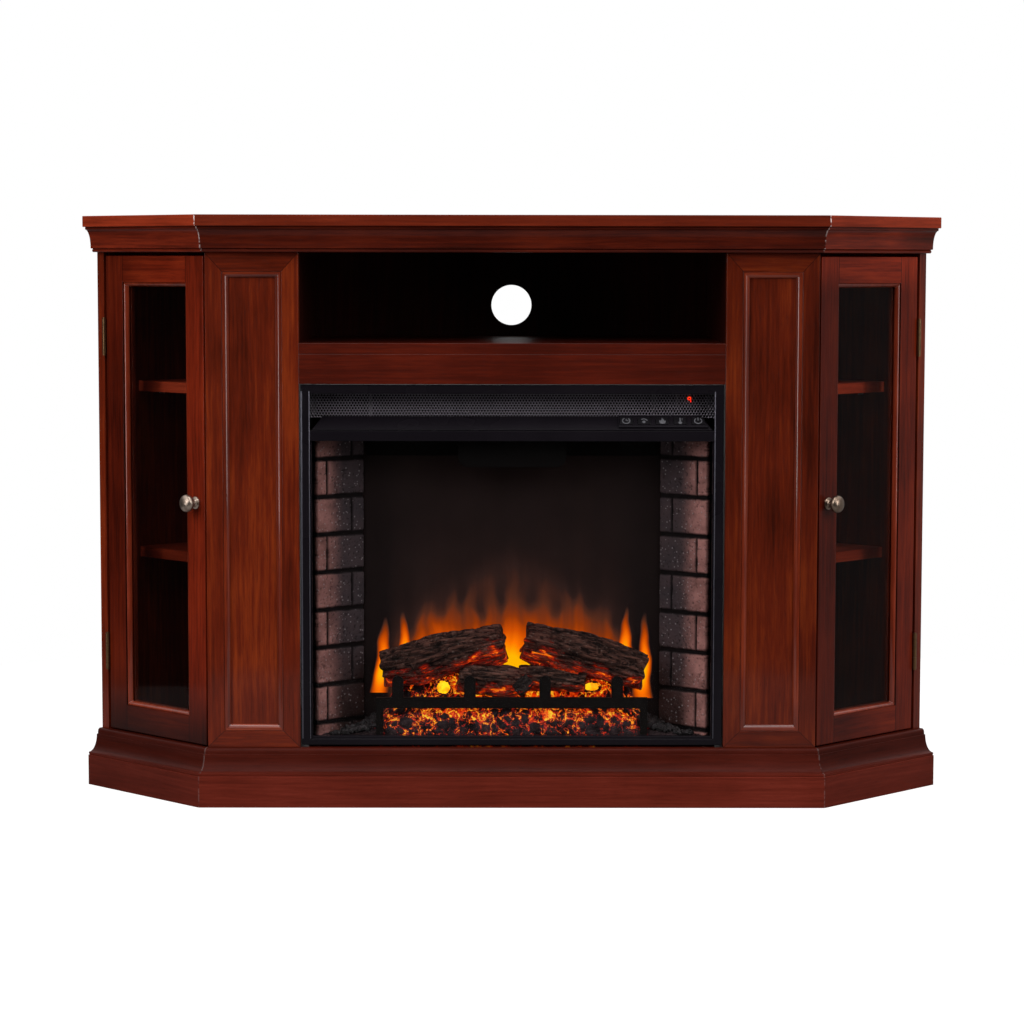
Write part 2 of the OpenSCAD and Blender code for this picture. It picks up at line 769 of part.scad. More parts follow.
// Roof of the fire space, with the valance and the rounded lamp cover under it
module firebox_hood() {
    cover_w = 75;
    cover_h = 38;
    cover_v0 = brick_v0 + 2;
    cover_v1 = screen_v - 6;
    valance_h = 25;
    valance_x = brick_back_x - 6;
    r = 14;
    half = half_window - glass_gap;
    z0 = brick_z1;
    color(trim_black) at_insert() {
        box([-half, glass_v + front_glass_t + glass_gap, z0], [half, screen_v + screen_t, z0 + sheet_t]);
        box([-valance_x, screen_v - 3, z0 - valance_h], [valance_x, screen_v - 1, z0]);
        translate([0, cover_v1, 0]) rotate([90, 0, 0]) linear_extrude(cover_v1 - cover_v0)
            polygon(concat([[cover_w, z0], [-cover_w, z0]],
                arc([-cover_w + r, z0 - cover_h + r], r, r, 180, 270),
                arc([cover_w - r, z0 - cover_h + r], r, r, 270, 360)));
    }
}

// ---- fire bed ----

// Half-width of the fire bed at depth v, between the splayed panels
function bed_half(v) = brick_front_x - 6 - max(0, v - brick_v0) * brick_splay / brick_panel_d;
// Height of the heap: a low mound with a knobbly surface
function mound(s) = 1 / (1 + pow(abs(s), 6));
function bed_top(x, v) =
    let (m = mound(x / ember_half_w), back = (v - trim_t) / (screen_v - trim_t))
    ember_base_h + ember_rise * m * pow(back, 1.5)
        + (ember_h - ember_base_h) * m * (0.9 + 0.06 * sin(x * 7 + v * 19) + 0.06 * cos(x * 13 - v * 11));

module ember_bed() {
    nx = 34;
    nv = 6;
    v0 = trim_t + bed_gap;
    v1 = screen_v - bed_gap;
    function at(i, j) = let (v = v0 + (v1 - v0) * j / nv) [bed_half(v) * (2 * i / nx - 1), v];
    top = [for (j = [0:nv], i = [0:nx]) let (p = at(i, j)) [p.x, p.y, floor_z + bed_top(p.x, p.y)]];
    bottom = [for (j = [0:nv], i = [0:nx]) let (p = at(i, j)) [p.x, p.y, floor_z]];
    n = len(top);
    function id(i, j) = j * (nx + 1) + i;
    // Two triangles over a square of points a, b, c, d, in turn round it
    function pair(a, b, c, d) = [[a, b, c], [a, c, d]];
    faces = concat(
        [for (j = [0:nv - 1], i = [0:nx - 1])
            for (f = pair(id(i, j), id(i, j + 1), id(i + 1, j + 1), id(i + 1, j))) f],
        [for (j = [0:nv - 1], i = [0:nx - 1])
            for (f = pair(id(i, j), id(i + 1, j), id(i + 1, j + 1), id(i, j + 1))) [for (q = f) q + n]],
        [for (i = [0:nx - 1]) for (f = concat(
            pair(id(i, 0), id(i + 1, 0), id(i + 1, 0) + n, id(i, 0) + n),
            pair(id(i + 1, nv), id(i, nv), id(i, nv) + n, id(i + 1, nv) + n))) f],
        [for (j = [0:nv - 1]) for (f = concat(
            pair(id(0, j + 1), id(0, j), id(0, j) + n, id(0, j + 1) + n),
            pair(id(nx, j), id(nx, j + 1), id(nx, j + 1) + n, id(nx, j) + n))) f]);
    color([0.5, 0.15, 0.03]) at_insert() polyhedron(concat(top, bottom), faces);
}

// A knobbly log from a to b: rings whose radius swells and ripples
module log_piece(a, b, r, seed) {
    rings = 12;
    sides = 14;
    d = b - a;
    l = norm(d);
    x = d / l;
    y0 = cross([0, 0, 1], x);
    y = y0 / norm(y0);
    z = cross(x, y);
    function radius(i, k) = r * (1 - 0.16 * pow(abs(2 * i / rings - 1), 4)
        + 0.07 * sin(seed * 71 + i * 83 + k * 137) + 0.06 * sin(seed * 29 + k * 154 - i * 31)
        + 0.05 * cos(seed * 11 + i * 57));
    flat = 0.92;
    pts = concat([for (i = [0:rings], k = [0:sides - 1]) let (q = radius(i, k), w = 360 * k / sides)
        a + d * i / rings + q * (flat * cos(w) * y + sin(w) * z)], [a, b]);
    last = len(pts);
    side_faces = [for (i = [0:rings - 1], k = [0:sides - 1])
        let (p = i * sides + k, q = i * sides + (k + 1) % sides)
        for (f = [[p, p + sides, q], [q, p + sides, q + sides]]) f];
    caps = [for (k = [0:sides - 1]) for (f = [[last - 2, k, (k + 1) % sides],
        [last - 1, rings * sides + (k + 1) % sides, rings * sides + k]]) f];
    polyhedron(pts, concat(side_faces, caps));
}

// Depth of the middle lines of the big logs and of the small ones
log_v = 53;
small_log_v = 45;
log_brown = [0.2, 0.1, 0.06];
bed_z = floor_z + ember_h;
bed_gap = 0.4;
// Each log: its ends, radius and seed, and how far along it the grate carries it and how far it sags there
left_log = [[-ember_half_w + 4, log_v + 2, bed_z + 56], [-14, log_v - 2, bed_z + 94], 26, 1, 0.117, 1.066];
right_log = [[ember_half_w, log_v + 2, bed_z + 54], [22, log_v - 2, bed_z + 96], 26, 2, 0.219, 1.009];
small_logs_at = [
    [[-72, small_log_v + 1, bed_z + 40], [4, small_log_v + 3, bed_z + 44], 16.5, 3, 0.18, 0.981],
    [[100, small_log_v, bed_z + 42], [16, small_log_v + 2, bed_z + 42], 15, 4, 0.638, 1.047]];
// The spot on a log's middle line over the bar that carries it
function log_rest(g) = g[0] + (g[1] - g[0]) * g[4];

module log_left() {
    color(log_brown) at_insert() log_piece(left_log[0], left_log[1], left_log[2], left_log[3]);
}

module log_right() {
    color(log_brown) at_insert() log_piece(right_log[0], right_log[1], right_log[2], right_log[3]);
}

module small_logs() {
    color(log_brown) at_insert() for (g = small_logs_at) log_piece(g[0], g[1], g[2], g[3]);
}

// Front bar of the grate, with four upright fingers and a bar behind each that carries a log
grate_t = 7;
grate_v0 = trim_t + 1;
grate_v1 = grate_v0 + grate_t;
module log_grate() {
    rest_over = 16;
    bar_z = bed_z + 6;
    bar_h = 15;
    half_bar = ember_half_w + 7;
    finger_w = 16;
    finger_h = 30;
    rest_w = 8;
    rest_gap = 0.4;
    half_foot = 5;
    foot_x = half_bar - half_foot;
    color(trim_black) at_insert() {
        box([-half_bar, grate_v0, bar_z], [half_bar, grate_v1, bar_z + bar_h]);
        for (g = concat([left_log, right_log], small_logs_at)) {
            spot = log_rest(g);
            translate([spot.x, grate_v1, bar_z + bar_h - e]) rotate([90, 0, 0]) linear_extrude(grate_t) {
                translate([-finger_w / 2, 0]) square([finger_w, finger_h - finger_w / 2]);
                translate([0, finger_h - finger_w / 2]) circle(r = finger_w / 2);
            }
            box([spot.x - rest_w / 2, grate_v1 - e, bar_z],
                [spot.x + rest_w / 2, g[0].y + rest_over, spot.z - g[2] * g[5] - rest_gap]);
        }
        for (x = [-foot_x, foot_x])
            box([x - half_foot, grate_v0, floor_z + ember_base_h], [x + half_foot, grate_v1, bar_z + e]);
    }
}

// Loose lumps at both ends of the bed
module charcoal() {
    lump_w = 11;
    step = [13, 16];
    start = [ember_half_w + 14, brick_v0 + 3, floor_z + ember_base_h + 7];
    color([0.06, 0.06, 0.06]) at_insert() both_sides() for (i = [0:3], j = [0:1])
        translate(start + [i * step.x - j * 6, j * step.y - i * 1.2, (i + j) % 2])
            rotate([i * 50, j * 40, i * 77]) cube([lump_w * 1.3, lump_w, lump_w * 1.1], center = true);
}

// ---- works behind the screen ----

module flame_rotor() {
    vane_w = 24;
    vanes = 12;
    foil_t = 0.8;
    color(steel_grey) at_insert() translate([0, rotor_v, rotor_z]) rotate([0, 90, 0]) {
        translate([0, 0, -rotor_half - 16]) cylinder(r = shaft_r, h = 2 * rotor_half + 32);
        for (k = [0:vanes - 1]) rotate([0, 0, k * 75])
            translate([-foil_t / 2, -rotor_r, -rotor_half + k * (2 * rotor_half - vane_w) / (vanes - 1)])
                cube([foil_t, 2 * rotor_r, vane_w]);
    }
}

module rotor_motor() {
    r = 17;
    x0 = rotor_half + 6;
    l = 24;
    half_foot = 9;
    bearing_x = -rotor_half - 12;
    bearing_t = 3;
    color(steel_grey) at_insert() {
        difference() {
            union() {
                translate([x0, rotor_v, rotor_z]) rotate([0, 90, 0]) cylinder(r = r, h = l);
                box([x0, rotor_v - half_foot, floor_z], [x0 + l, rotor_v + half_foot, rotor_z]);
            }
            translate([x0 - 1, rotor_v, rotor_z]) rotate([0, 90, 0]) cylinder(r = shaft_r + run_gap, h = 13);
        }
        difference() {
            box([bearing_x, rotor_v - half_foot, floor_z],
                [bearing_x + bearing_t, rotor_v + half_foot, rotor_z + 10]);
            translate([bearing_x - 1, rotor_v, rotor_z]) rotate([0, 90, 0])
                cylinder(r = shaft_r + run_gap, h = bearing_t + 2);
        }
    }
}

module light_strip() {
    v0 = rotor_v + rotor_r + 14;
    board_w = 18;
    strip_board_t = 2;
    lamp_pitch = 36;
    lamp_w = 8;
    lamp_h = 4;
    color([0.9, 0.6, 0.2]) at_insert() {
        box([-rotor_half, v0, floor_z], [rotor_half, v0 + board_w, floor_z + strip_board_t]);
        for (i = [-4:4])
            translate([i * lamp_pitch - lamp_w / 2, v0 + (board_w - lamp_w) / 2, floor_z + strip_board_t])
                cube([lamp_w, lamp_w, lamp_h]);
    }
}

module heater_housing() {
    s = sheet_t;
    bearing_x = -blower_half - 14;
    color(steel_grey) at_insert() {
        box([-duct_half, duct_v0, duct_z0], [duct_half, duct_v1, duct_z0 + s]);
        box([-duct_half, duct_v0, duct_z1 - s], [duct_half, duct_v1, duct_z1]);
        box([-duct_half, duct_v1 - s, duct_z0 + s], [duct_half, duct_v1, duct_z1 - s]);
        both_sides() box([duct_half - s, duct_v0, duct_z0 + s], [duct_half, duct_v1 - s, duct_z1 - s]);
        difference() {
            box([bearing_x, blower_v - 10, duct_z0 + s], [bearing_x + 3, blower_v + 10, duct_z1 - s]);
            translate([bearing_x - 1, blower_v, blower_z]) rotate([0, 90, 0])
                cylinder(r = shaft_r + run_gap, h = 5);
        }
    }
}

module heating_element() {
    half = duct_half - 50;
    v = duct_v0 + 8;
    z0 = duct_z0 + sheet_t;
    z1 = duct_z1 - sheet_t;
    bars = 4;
    color([0.75, 0.7, 0.6]) at_insert() {
        both_sides() box([half, v, z0], [half + 6, v + 12, z1]);
        for (k = [0:bars - 1]) let (z = z0 + 6 + k * (z1 - z0 - 20) / (bars - 1))
            box([-half, v + 2, z], [half, v + 10, z + 8]);
    }
}

module blower_wheel() {
    blade_w = 8;
    blade_t = 1;
    disc_t = 1.5;
    color(steel_grey) at_insert() translate([0, blower_v, blower_z]) rotate([0, 90, 0]) {
        translate([0, 0, -blower_half - 18]) cylinder(r = shaft_r, h = 2 * blower_half + 36);
        for (x = [-blower_half, -disc_t / 2, blower_half - disc_t])
            translate([0, 0, x]) cylinder(r = blower_r, h = disc_t);
        for (k = [0:blower_blades - 1]) rotate([0, 0, k * 360 / blower_blades])
            translate([blower_r - blade_w - 1, -blade_t / 2, -blower_half + disc_t / 2])
                cube([blade_w, blade_t, 2 * blower_half - disc_t]);
    }
}

module blower_motor() {
    x0 = blower_half + 8;
    l = 34;
    color(steel_grey) at_insert() difference() {
        union() {
            translate([x0, blower_v, blower_z]) rotate([0, 90, 0]) cylinder(r = 18, h = l);
            box([x0, blower_v - 10, duct_z0 + sheet_t], [x0 + l, blower_v + 10, blower_z]);
        }
        translate([x0 - 1, blower_v, blower_z]) rotate([0, 90, 0]) cylinder(r = shaft_r + run_gap, h = 13);
    }
}

// Gland for the supply cord, in the back of the casing
module cord_gland() {
    inset = 50;
    l = 12;
    color(trim_black) at_insert() translate([-half_casing + inset, casing_v1, plinth_h + inset])
        rotate([-90, 0, 0]) difference() {
            union() {
                cylinder(r = 11, h = 3);
                cylinder(r = 7.5, h = l);
            }
            translate([0, 0, -1]) cylinder(r = cord_r, h = l + 2);
        }
}

top_board();
crown_moulding();
front_rails();
base_frame();
base_deck();
plinth_moulding();
pilaster_frames();
pilaster_panels();
pilaster_beads();
media_shelf();
inner_partitions();
end_panels();
back_panel();
corner_posts();
cabinet_shelves();
shelf_pins();
magnet_catches();
case_hinge_leaves();
on_wing(-1) door_frame();  // door_frame_left
on_wing(-1) door_beads();  // door_beads_left
on_wing(-1) door_glass();  // door_glass_left
on_wing(-1) door_knob();  // door_knob_left
on_wing(-1) door_hinge_leaves();  // door_hinge_leaves_left
on_wing(-1) strike_plate();  // strike_plate_left
on_wing(1) door_frame();  // door_frame_right
on_wing(1) door_beads();  // door_beads_right
on_wing(1) door_glass();  // door_glass_right
on_wing(1) door_knob();  // door_knob_right
on_wing(1) door_hinge_leaves();  // door_hinge_leaves_right
on_wing(1) strike_plate();  // strike_plate_right
trim_frame();
outlet_grille();
air_deflector();
control_strip();
key(0);  // timer_key
key(1);  // dimmer_key
key(2);  // flame_key
key(3);  // heat_key
key(4);  // power_key
display_module();
front_glass();
firebox_casing();
mirror([1, 0, 0]) brick_panel();  // brick_panel_left
brick_panel();  // brick_panel_right
flame_screen();
firebox_hood();
ember_bed();
log_left();
log_right();
small_logs();
log_grate();
charcoal();
flame_rotor();
rotor_motor();
light_strip();
heater_housing();
heating_element();
blower_wheel();
blower_motor();
cord_gland();
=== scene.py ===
"""Finishes, detailed pieces, light and camera for the corner fireplace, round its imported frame."""
import logging
import math
import random
from dataclasses import dataclass
from enum import Enum
from functools import lru_cache
from typing import Any, Callable, Iterable, Sequence, Union

import bmesh
import bpy
from mathutils import Matrix, Vector, noise


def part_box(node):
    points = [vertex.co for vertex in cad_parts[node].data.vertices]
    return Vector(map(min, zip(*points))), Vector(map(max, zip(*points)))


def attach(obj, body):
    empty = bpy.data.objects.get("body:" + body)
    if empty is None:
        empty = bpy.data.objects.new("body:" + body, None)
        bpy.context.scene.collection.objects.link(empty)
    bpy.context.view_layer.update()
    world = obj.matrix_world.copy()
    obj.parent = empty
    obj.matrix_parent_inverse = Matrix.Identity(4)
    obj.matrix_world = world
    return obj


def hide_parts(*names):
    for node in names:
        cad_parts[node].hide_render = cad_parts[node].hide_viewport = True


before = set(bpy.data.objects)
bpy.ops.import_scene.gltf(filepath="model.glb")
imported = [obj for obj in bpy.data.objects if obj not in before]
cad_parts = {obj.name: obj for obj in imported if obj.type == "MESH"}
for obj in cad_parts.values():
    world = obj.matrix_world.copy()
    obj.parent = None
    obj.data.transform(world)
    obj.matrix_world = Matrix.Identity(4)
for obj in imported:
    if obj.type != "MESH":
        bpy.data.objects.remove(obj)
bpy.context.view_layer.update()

LOG = logging.getLogger("fireplace")
MM = 0.001
# Face of the insert's trim frame, and the corner where front and wing meet
INSERT_Y = -0.172
HALF_FRONT = 0.4215
FRONT_Y = -0.174
SIN45 = math.sqrt(0.5)
MITRE = math.tan(math.radians(22.5))

Pair = tuple[float, float]
Point = tuple[float, float, float]
Rgba = tuple[float, float, float, float]
Span = tuple[float, float, float, float]
Tones = tuple[Point, Point, Point]
BLACK: Rgba = (0.0, 0.0, 0.0, 1.0)
WHITE: Rgba = (1.0, 1.0, 1.0, 1.0)


def tone(red: float, green: float, blue: float) -> Rgba:
    """Turn a colour's display values, 0 to 255, into a shader's linear ones.

    Args:
        red: the red channel, 0 to 255.
        green: the green channel, 0 to 255.
        blue: the blue channel, 0 to 255.

    Returns:
        The linear colour, with an alpha of 1.
    """
    def linear(value: float) -> float:
        """Undo the display curve of one channel."""
        part = value / 255
        return part / 12.92 if part <= 0.04045 else ((part + 0.055) / 1.055) ** 2.4
    return (linear(red), linear(green), linear(blue), 1.0)


def at_insert(across: float, back: float, up: float) -> Vector:
    """Give the point at these millimetres: across, back from the insert's face, and above the floor."""
    return Vector((across * MM, INSERT_Y + back * MM, up * MM))


def smooth(value: float, low: float, high: float) -> float:
    """Ease a value from 0 at low to 1 at high."""
    part = min(1.0, max(0.0, (value - low) / (high - low)))
    return part * part * (3 - 2 * part)


def ridge(value: float, width: float) -> float:
    """Give 1 where the value is 0, falling off over the width on both sides."""
    return math.exp(-(value / width) ** 2)


def place_object(name: str, data: bpy.types.ID) -> bpy.types.Object:
    """Put a mesh, light or camera into the scene.

    Args:
        name: the object's name.
        data: its mesh, light or camera data.

    Returns:
        The new object.
    """
    thing = bpy.data.objects.new(name, data)
    bpy.context.scene.collection.objects.link(thing)
    return thing


# ---- shader maths ----

class Sock:
    """A shader socket that takes part in Python arithmetic by adding Math nodes."""

    def __init__(self, graph: "Graph", socket: bpy.types.NodeSocket) -> None:
        """Wrap one output socket of a graph."""
        self.graph = graph
        self.socket = socket

    def math(self, operation: str, *others: "Value") -> "Sock":
        """Add a Math node with this socket first and the others after it."""
        inputs = dict(enumerate((self, *others)))
        return self.graph.node("Math", {"operation": operation}, inputs)

    def __add__(self, other: "Value") -> "Sock":
        """Add."""
        return self.math("ADD", other)

    __radd__ = __add__

    def __sub__(self, other: "Value") -> "Sock":
        """Subtract."""
        return self.math("SUBTRACT", other)

    def __rsub__(self, other: float) -> "Sock":
        """Subtract this socket from a number."""
        return self.graph.node("Math", {"operation": "SUBTRACT"}, {0: other, 1: self})

    def __mul__(self, other: "Value") -> "Sock":
        """Multiply."""
        return self.math("MULTIPLY", other)

    __rmul__ = __mul__

    def __truediv__(self, other: "Value") -> "Sock":
        """Divide."""
        return self.math("DIVIDE", other)

    def __pow__(self, power: "Value") -> "Sock":
        """Raise to a power."""
        return self.math("POWER", power)

    def __abs__(self) -> "Sock":
        """Drop the sign."""
        return self.math("ABSOLUTE")

    def __gt__(self, other: "Value") -> "Sock":
        """Give 1 where this is the greater, else 0."""
        return self.math("GREATER_THAN", other)

    def __lt__(self, other: "Value") -> "Sock":
        """Give 1 where this is the lesser, else 0."""
        return self.math("LESS_THAN", other)

    def at_least(self, other: "Value") -> "Sock":
        """Give the greater of the two."""
        return self.math("MAXIMUM", other)

    def at_most(self, other: "Value") -> "Sock":
        """Give the lesser of the two."""
        return self.math("MINIMUM", other)

    def sign(self) -> "Sock":
        """Give -1, 0 or 1."""
        return self.math("SIGN")

    def ease(self, low: float, high: float, start: float = 0.0, end: float = 1.0) -> "Sock":
        """Ease from start, where this is low, to end, where it is high."""
        return self.graph.node("MapRange", {"interpolation_type": "SMOOTHSTEP"},
                               {0: self, 1: low, 2: high, 3: start, 4: end})

    def between(self, mask: "Sock", other: "Sock") -> "Sock":
        """Mix this number with another where the mask is 1."""
        return self + (other - self) * mask


Value = Union[Sock, float]


class Graph:
    """The node tree of one material, or of the world."""

    def __init__(self, owner: Union[bpy.types.Material, bpy.types.World]) -> None:
        """Empty the owner's tree.

        Args:
            owner: the material or world whose nodes it holds.
        """
        owner.use_nodes = True
        self.tree = owner.node_tree
        self.tree.nodes.clear()

    def node(self, kind: str, settings: dict, inputs: dict, output: Union[int, str] = 0) -> Sock:
        """Make one node.

        Args:
            kind: the node's type without its leading ShaderNode.
            settings: its attributes, set first; "stops" are a ramp's places and colours.
            inputs: number, colour or socket for each input, by name or place.
            output: the output to hand back.

        Returns:
            The wrapped output socket.
        """
        made = self.tree.nodes.new("ShaderNode" + kind)
        for key, value in settings.items():
            if key == "stops":
                self._stops(made.color_ramp.elements, value)
            else:
                setattr(made, key, value)
        for key, value in inputs.items():
            if isinstance(value, Sock):
                self.tree.links.new(value.socket, made.inputs[key])
            else:
                made.inputs[key].default_value = value
        return Sock(self, made.outputs[output])

    @staticmethod
    def _stops(elements: bpy.types.ColorRampElements, stops: Sequence[tuple[float, Rgba]]) -> None:
        """Write a ramp's stops.

        Args:
            elements: the ramp's elements, of which a new ramp has two.
            stops: place and colour of each stop, from low to high.
        """
        for index, (place, colour) in enumerate(stops):
            element = elements[index] if index < 2 else elements.new(place)
            element.position = place
            element.color = colour

    def spot(self) -> Sock:
        """Give the place in Object coordinates."""
        return self.node("TexCoord", {}, {}, "Object")

    def place(self) -> tuple[Sock, Sock, Sock]:
        """Give the three Object coordinates."""
        return self.split(self.spot())

    def split(self, vector: Sock) -> tuple[Sock, Sock, Sock]:
        """Give the three parts of a vector."""
        outs = self.node("SeparateXYZ", {}, {0: vector}).socket.node.outputs
        return Sock(self, outs[0]), Sock(self, outs[1]), Sock(self, outs[2])

    def ray(self, kind: str) -> Sock:
        """Give 1 for rays of a kind: Camera, Glossy or Transmission."""
        return self.node("LightPath", {}, {}, f"Is {kind} Ray")

    def vector(self, first: Value, second: Value, third: Value) -> Sock:
        """Put three numbers together as a vector."""
        return self.node("CombineXYZ", {}, {0: first, 1: second, 2: third})

    def noise(self, at: Sock, scale: float, detail: float = 3.0, rough: float = 0.55,
              warp: float = 0.0) -> Sock:
        """Give a cloudy noise from 0 to 1."""
        return self.node("TexNoise", {}, {"Vector": at, "Scale": scale, "Detail": detail,
                                          "Roughness": rough, "Distortion": warp})

    def threads(self, at: Sock, scale: float, width: float, detail: float, rough: float, warp: float) -> Sock:
        """Give thin threads: 1 where a noise crosses its middle."""
        return abs(self.noise(at, scale, detail, rough, warp) - 0.5).ease(0.0, width, 1.0, 0.0)

    def cells(self, at: Sock, scale: float) -> Sock:
        """Give the distance to the middle of the nearest cell."""
        return self.node("TexVoronoi", {"feature": "F1"}, {"Vector": at, "Scale": scale}, "Distance")

    def attribute(self, name: str) -> Sock:
        """Read a number that the mesh carries at its points."""
        return self.node("Attribute", {"attribute_name": name}, {}, "Fac")

    def mix(self, mask: Value, first: Union[Sock, Rgba], second: Union[Sock, Rgba],
            blend: str = "MIX") -> Sock:
        """Mix two colours, the second where the mask is 1."""
        return self.node("Mix", {"data_type": "RGBA", "blend_type": blend},
                         {0: mask, 6: first, 7: second}, 2)

    def scaled(self, colour: Sock, share: Sock) -> Sock:
        """Multiply a colour by a number."""
        return self.mix(1.0, colour, self.vector(share, share, share), "MULTIPLY")

    def ramp(self, value: Sock, stops: Sequence[tuple[float, Rgba]]) -> Sock:
        """Turn a number into a colour."""
        return self.node("ValToRGB", {"stops": stops}, {0: value})

    def bump(self, height: Sock, depth: float, strength: float = 1.0) -> Sock:
        """Turn a height into a normal; depth is the height of 1, in metres."""
        return self.node("Bump", {}, {"Height": height, "Distance": depth, "Strength": strength})

    def surface(self, sockets: dict) -> None:
        """Close the material with one Principled shader."""
        self.close(self.node("BsdfPrincipled", {}, sockets))

    def close(self, shader: Sock, output: str = "OutputMaterial") -> None:
        """Close the tree with this shader."""
        end = self.tree.nodes.new("ShaderNode" + output)
        self.tree.links.new(shader.socket, end.inputs[0])


# ---- finishes ----

@dataclass(frozen=True)
class Finish:
    """A named finish that paints one material."""

    name: str

    def paint(self, graph: Graph) -> None:
        """Fill the graph of this finish."""
        raise NotImplementedError


@lru_cache(maxsize=None)
def material_of(finish: Finish) -> bpy.types.Material:
    """Give the finish's material, made at its first use.

    Args:
        finish: the finish to paint.

    Returns:
        The material.
    """
    made = bpy.data.materials.new(finish.name)
    finish.paint(Graph(made))
    return made


class Run(Enum):
    """Which way the boards of a piece run."""

    FRONT = "along the front"
    WINGS = "along the two wings"
    MITRED = "along the front, then along the wings"


class Grain(Enum):
    """How the grain lies in a piece."""

    ALONG = "along the run"
    UPRIGHT = "upright"
    BUTTED = "upright stiles with rails butted between them"
    FRAMED = "upright stiles and rails with mitred corners"


@dataclass(frozen=True)
class Mahogany(Finish):
    """Red-brown stained mahogany under a satin lacquer."""

    tones: Tones = ((134, 50, 15), (98, 29, 9), (60, 15, 4))
    run: Run = Run.FRONT
    grain: Grain = Grain.ALONG
    seed: float = 0.0
    gloss: float = 0.36
    # Painted light: how much lighter the boards of the wings are than the front ones, and how strong the
    # painted highlight along the mitre is
    wing_painted_light: float = 1.0
    mitre_highlight: float = 0.0
    coat: float = 0.30
    sheen: float = 0.10
    contrast: float = 0.85
    # Painted light and shade over the stain, across and up the room: two places, and the share of the stain's
    # tone at each
    painted_shading_x: Span = (0.0, 1.0, 1.0, 1.0)
    painted_shading_z: Span = (0.0, 1.0, 1.0, 1.0)
    # Door frame, in metres along the wing: ends of the rails, and half the width of their joint lines
    rail_ends: Pair = (0.041, 0.182)
    joint_half: float = 0.0005
    # Pilaster frame: half-width places of its outer edges, its height, and its member widths
    frame_x: Pair = (0.293, 0.4215)
    frame_z: Pair = (0.080, 0.764)
    member: Point = (0.0235, 0.026, 0.023)
    # Painted highlight along the mitre: half its width, and the heights over which it gets fainter on the top
    mitre_highlight_half: float = 0.0009
    mitre_highlight_z: Pair = (0.8140, 0.8149)

    def axes(self, graph: Graph) -> tuple[Sock, Sock, Sock, Sock]:
        """Find a point's place in its own board.

        Args:
            graph: the material's graph.

        Returns:
            The places along the run, through the board and up it, and the distance past the corner.
        """
        x, y, z = graph.place()
        half = abs(x)
        along = (half + y) * SIN45
        through = (half - y) * SIN45
        past = along - (HALF_FRONT + FRONT_Y) * SIN45
        if self.run is Run.FRONT:
            return x, y, z, past
        apart = along + x.sign() * 5.0
        if self.run is Run.WINGS:
            return apart, through, z, past
        wing = half + (y - FRONT_Y) * MITRE > HALF_FRONT
        return x.between(wing, apart), y.between(wing, through), z, past

    def joints(self, graph: Graph, past: Sock, z: Sock) -> tuple[Sock, Sock]:
        """Find the stiles and the joint lines of a frame.

        Args:
            graph: the material's graph.
            past: distance along the wing, past the corner.
            z: height above the floor.

        Returns:
            1 where the grain stands upright, and 1 on the thin dark line of a joint.
        """
        if self.grain is Grain.BUTTED:
            low, high = self.rail_ends
            middle, half = (low + high) / 2, (high - low) / 2
            off = abs(past - middle) - half
            return off > 0.0, abs(off) < self.joint_half
        x = graph.place()[0]
        across = (abs(x) - self.frame_x[0]).at_most(self.frame_x[1] - abs(x)) / self.member[0]
        top = (self.frame_z[1] - z) / self.member[1]
        up = top.at_most((z - self.frame_z[0]) / self.member[2])
        gap = across - up
        return gap < 0.0, (abs(gap) < 0.022) * (up < 1.0)

    def paint(self, graph: Graph) -> None:
        """Paint streaks, pores, blotches and joints along the boards.

        Args:
            graph: the material's graph.
        """
        run, through, z, past = self.axes(graph)
        line: Value = 0.0
        if self.grain is Grain.ALONG:
            long, across = run, z
        elif self.grain is Grain.UPRIGHT:
            long, across = z, run
        else:
            upright, line = self.joints(graph, past, z)
            long, across = run.between(upright, z), z.between(upright, run)
            through = through + upright * 0.37
        sway = graph.noise(graph.vector(long * 3.0, across * 9.0, through * 9.0), 1.0, 2.0) - 0.5
        across = across + sway * 0.012
        start = self.seed * 3.7

        def fibres(lengthwise: float, crosswise: float, detail: float) -> Sock:
            """Give a noise drawn out along the grain, with this many waves a metre."""
            drawn = graph.vector(long * lengthwise + start, across * crosswise, through * crosswise)
            return graph.noise(drawn, 1.0, detail)

        streak = fibres(7.0, 210.0, 2.0)
        pore = fibres(70.0, 1500.0, 1.0).ease(0.60, 0.75)
        cloud = graph.noise(graph.vector(long + start, across, through), 7.0, 2.0)
        depth = (fibres(2.2, 26.0, 3.0) * 0.26 + streak * 0.28 + cloud * 0.26 + fibres(0.8, 6.0, 2.0) * 0.16
                 + fibres(34.0, 330.0, 2.0) * 0.14 - 0.05)
        light, middle, dark = self.tones
        body = graph.ramp((depth - 0.5) * self.contrast + 0.5,
                          [(0.38, tone(*dark)), (0.50, tone(*middle)), (0.62, tone(*light))])
        stained = graph.mix(pore * 0.35, body, tone(*(part * 0.45 for part in dark)))
        if isinstance(line, Sock):
            stained = graph.mix(line * 0.85, stained, tone(20, 5, 3))
        # The base colour takes painted light and shade across and up the room, and on mitred runs the wings'
        # painted light and the mitre's painted highlight.
        graph.surface({"Base Color": self.corners(graph, self.painted_shading(graph, stained)),
                       "Roughness": self.gloss + (cloud - 0.5) * 0.12 + pore * 0.1,
                       "Specular IOR Level": self.sheen, "Coat Weight": self.coat, "Coat Roughness": 0.08,
                       "Normal": graph.bump(streak * 0.3 - pore * 0.6, 0.00012, 0.7)})

    def painted_shading(self, graph: Graph, body: Sock) -> Sock:
        """Paint light and shade onto the stain: darker or lighter towards the end of each span."""
        x, _, z = graph.place()
        return graph.scaled(body, x.ease(*self.painted_shading_x) * z.ease(*self.painted_shading_z))

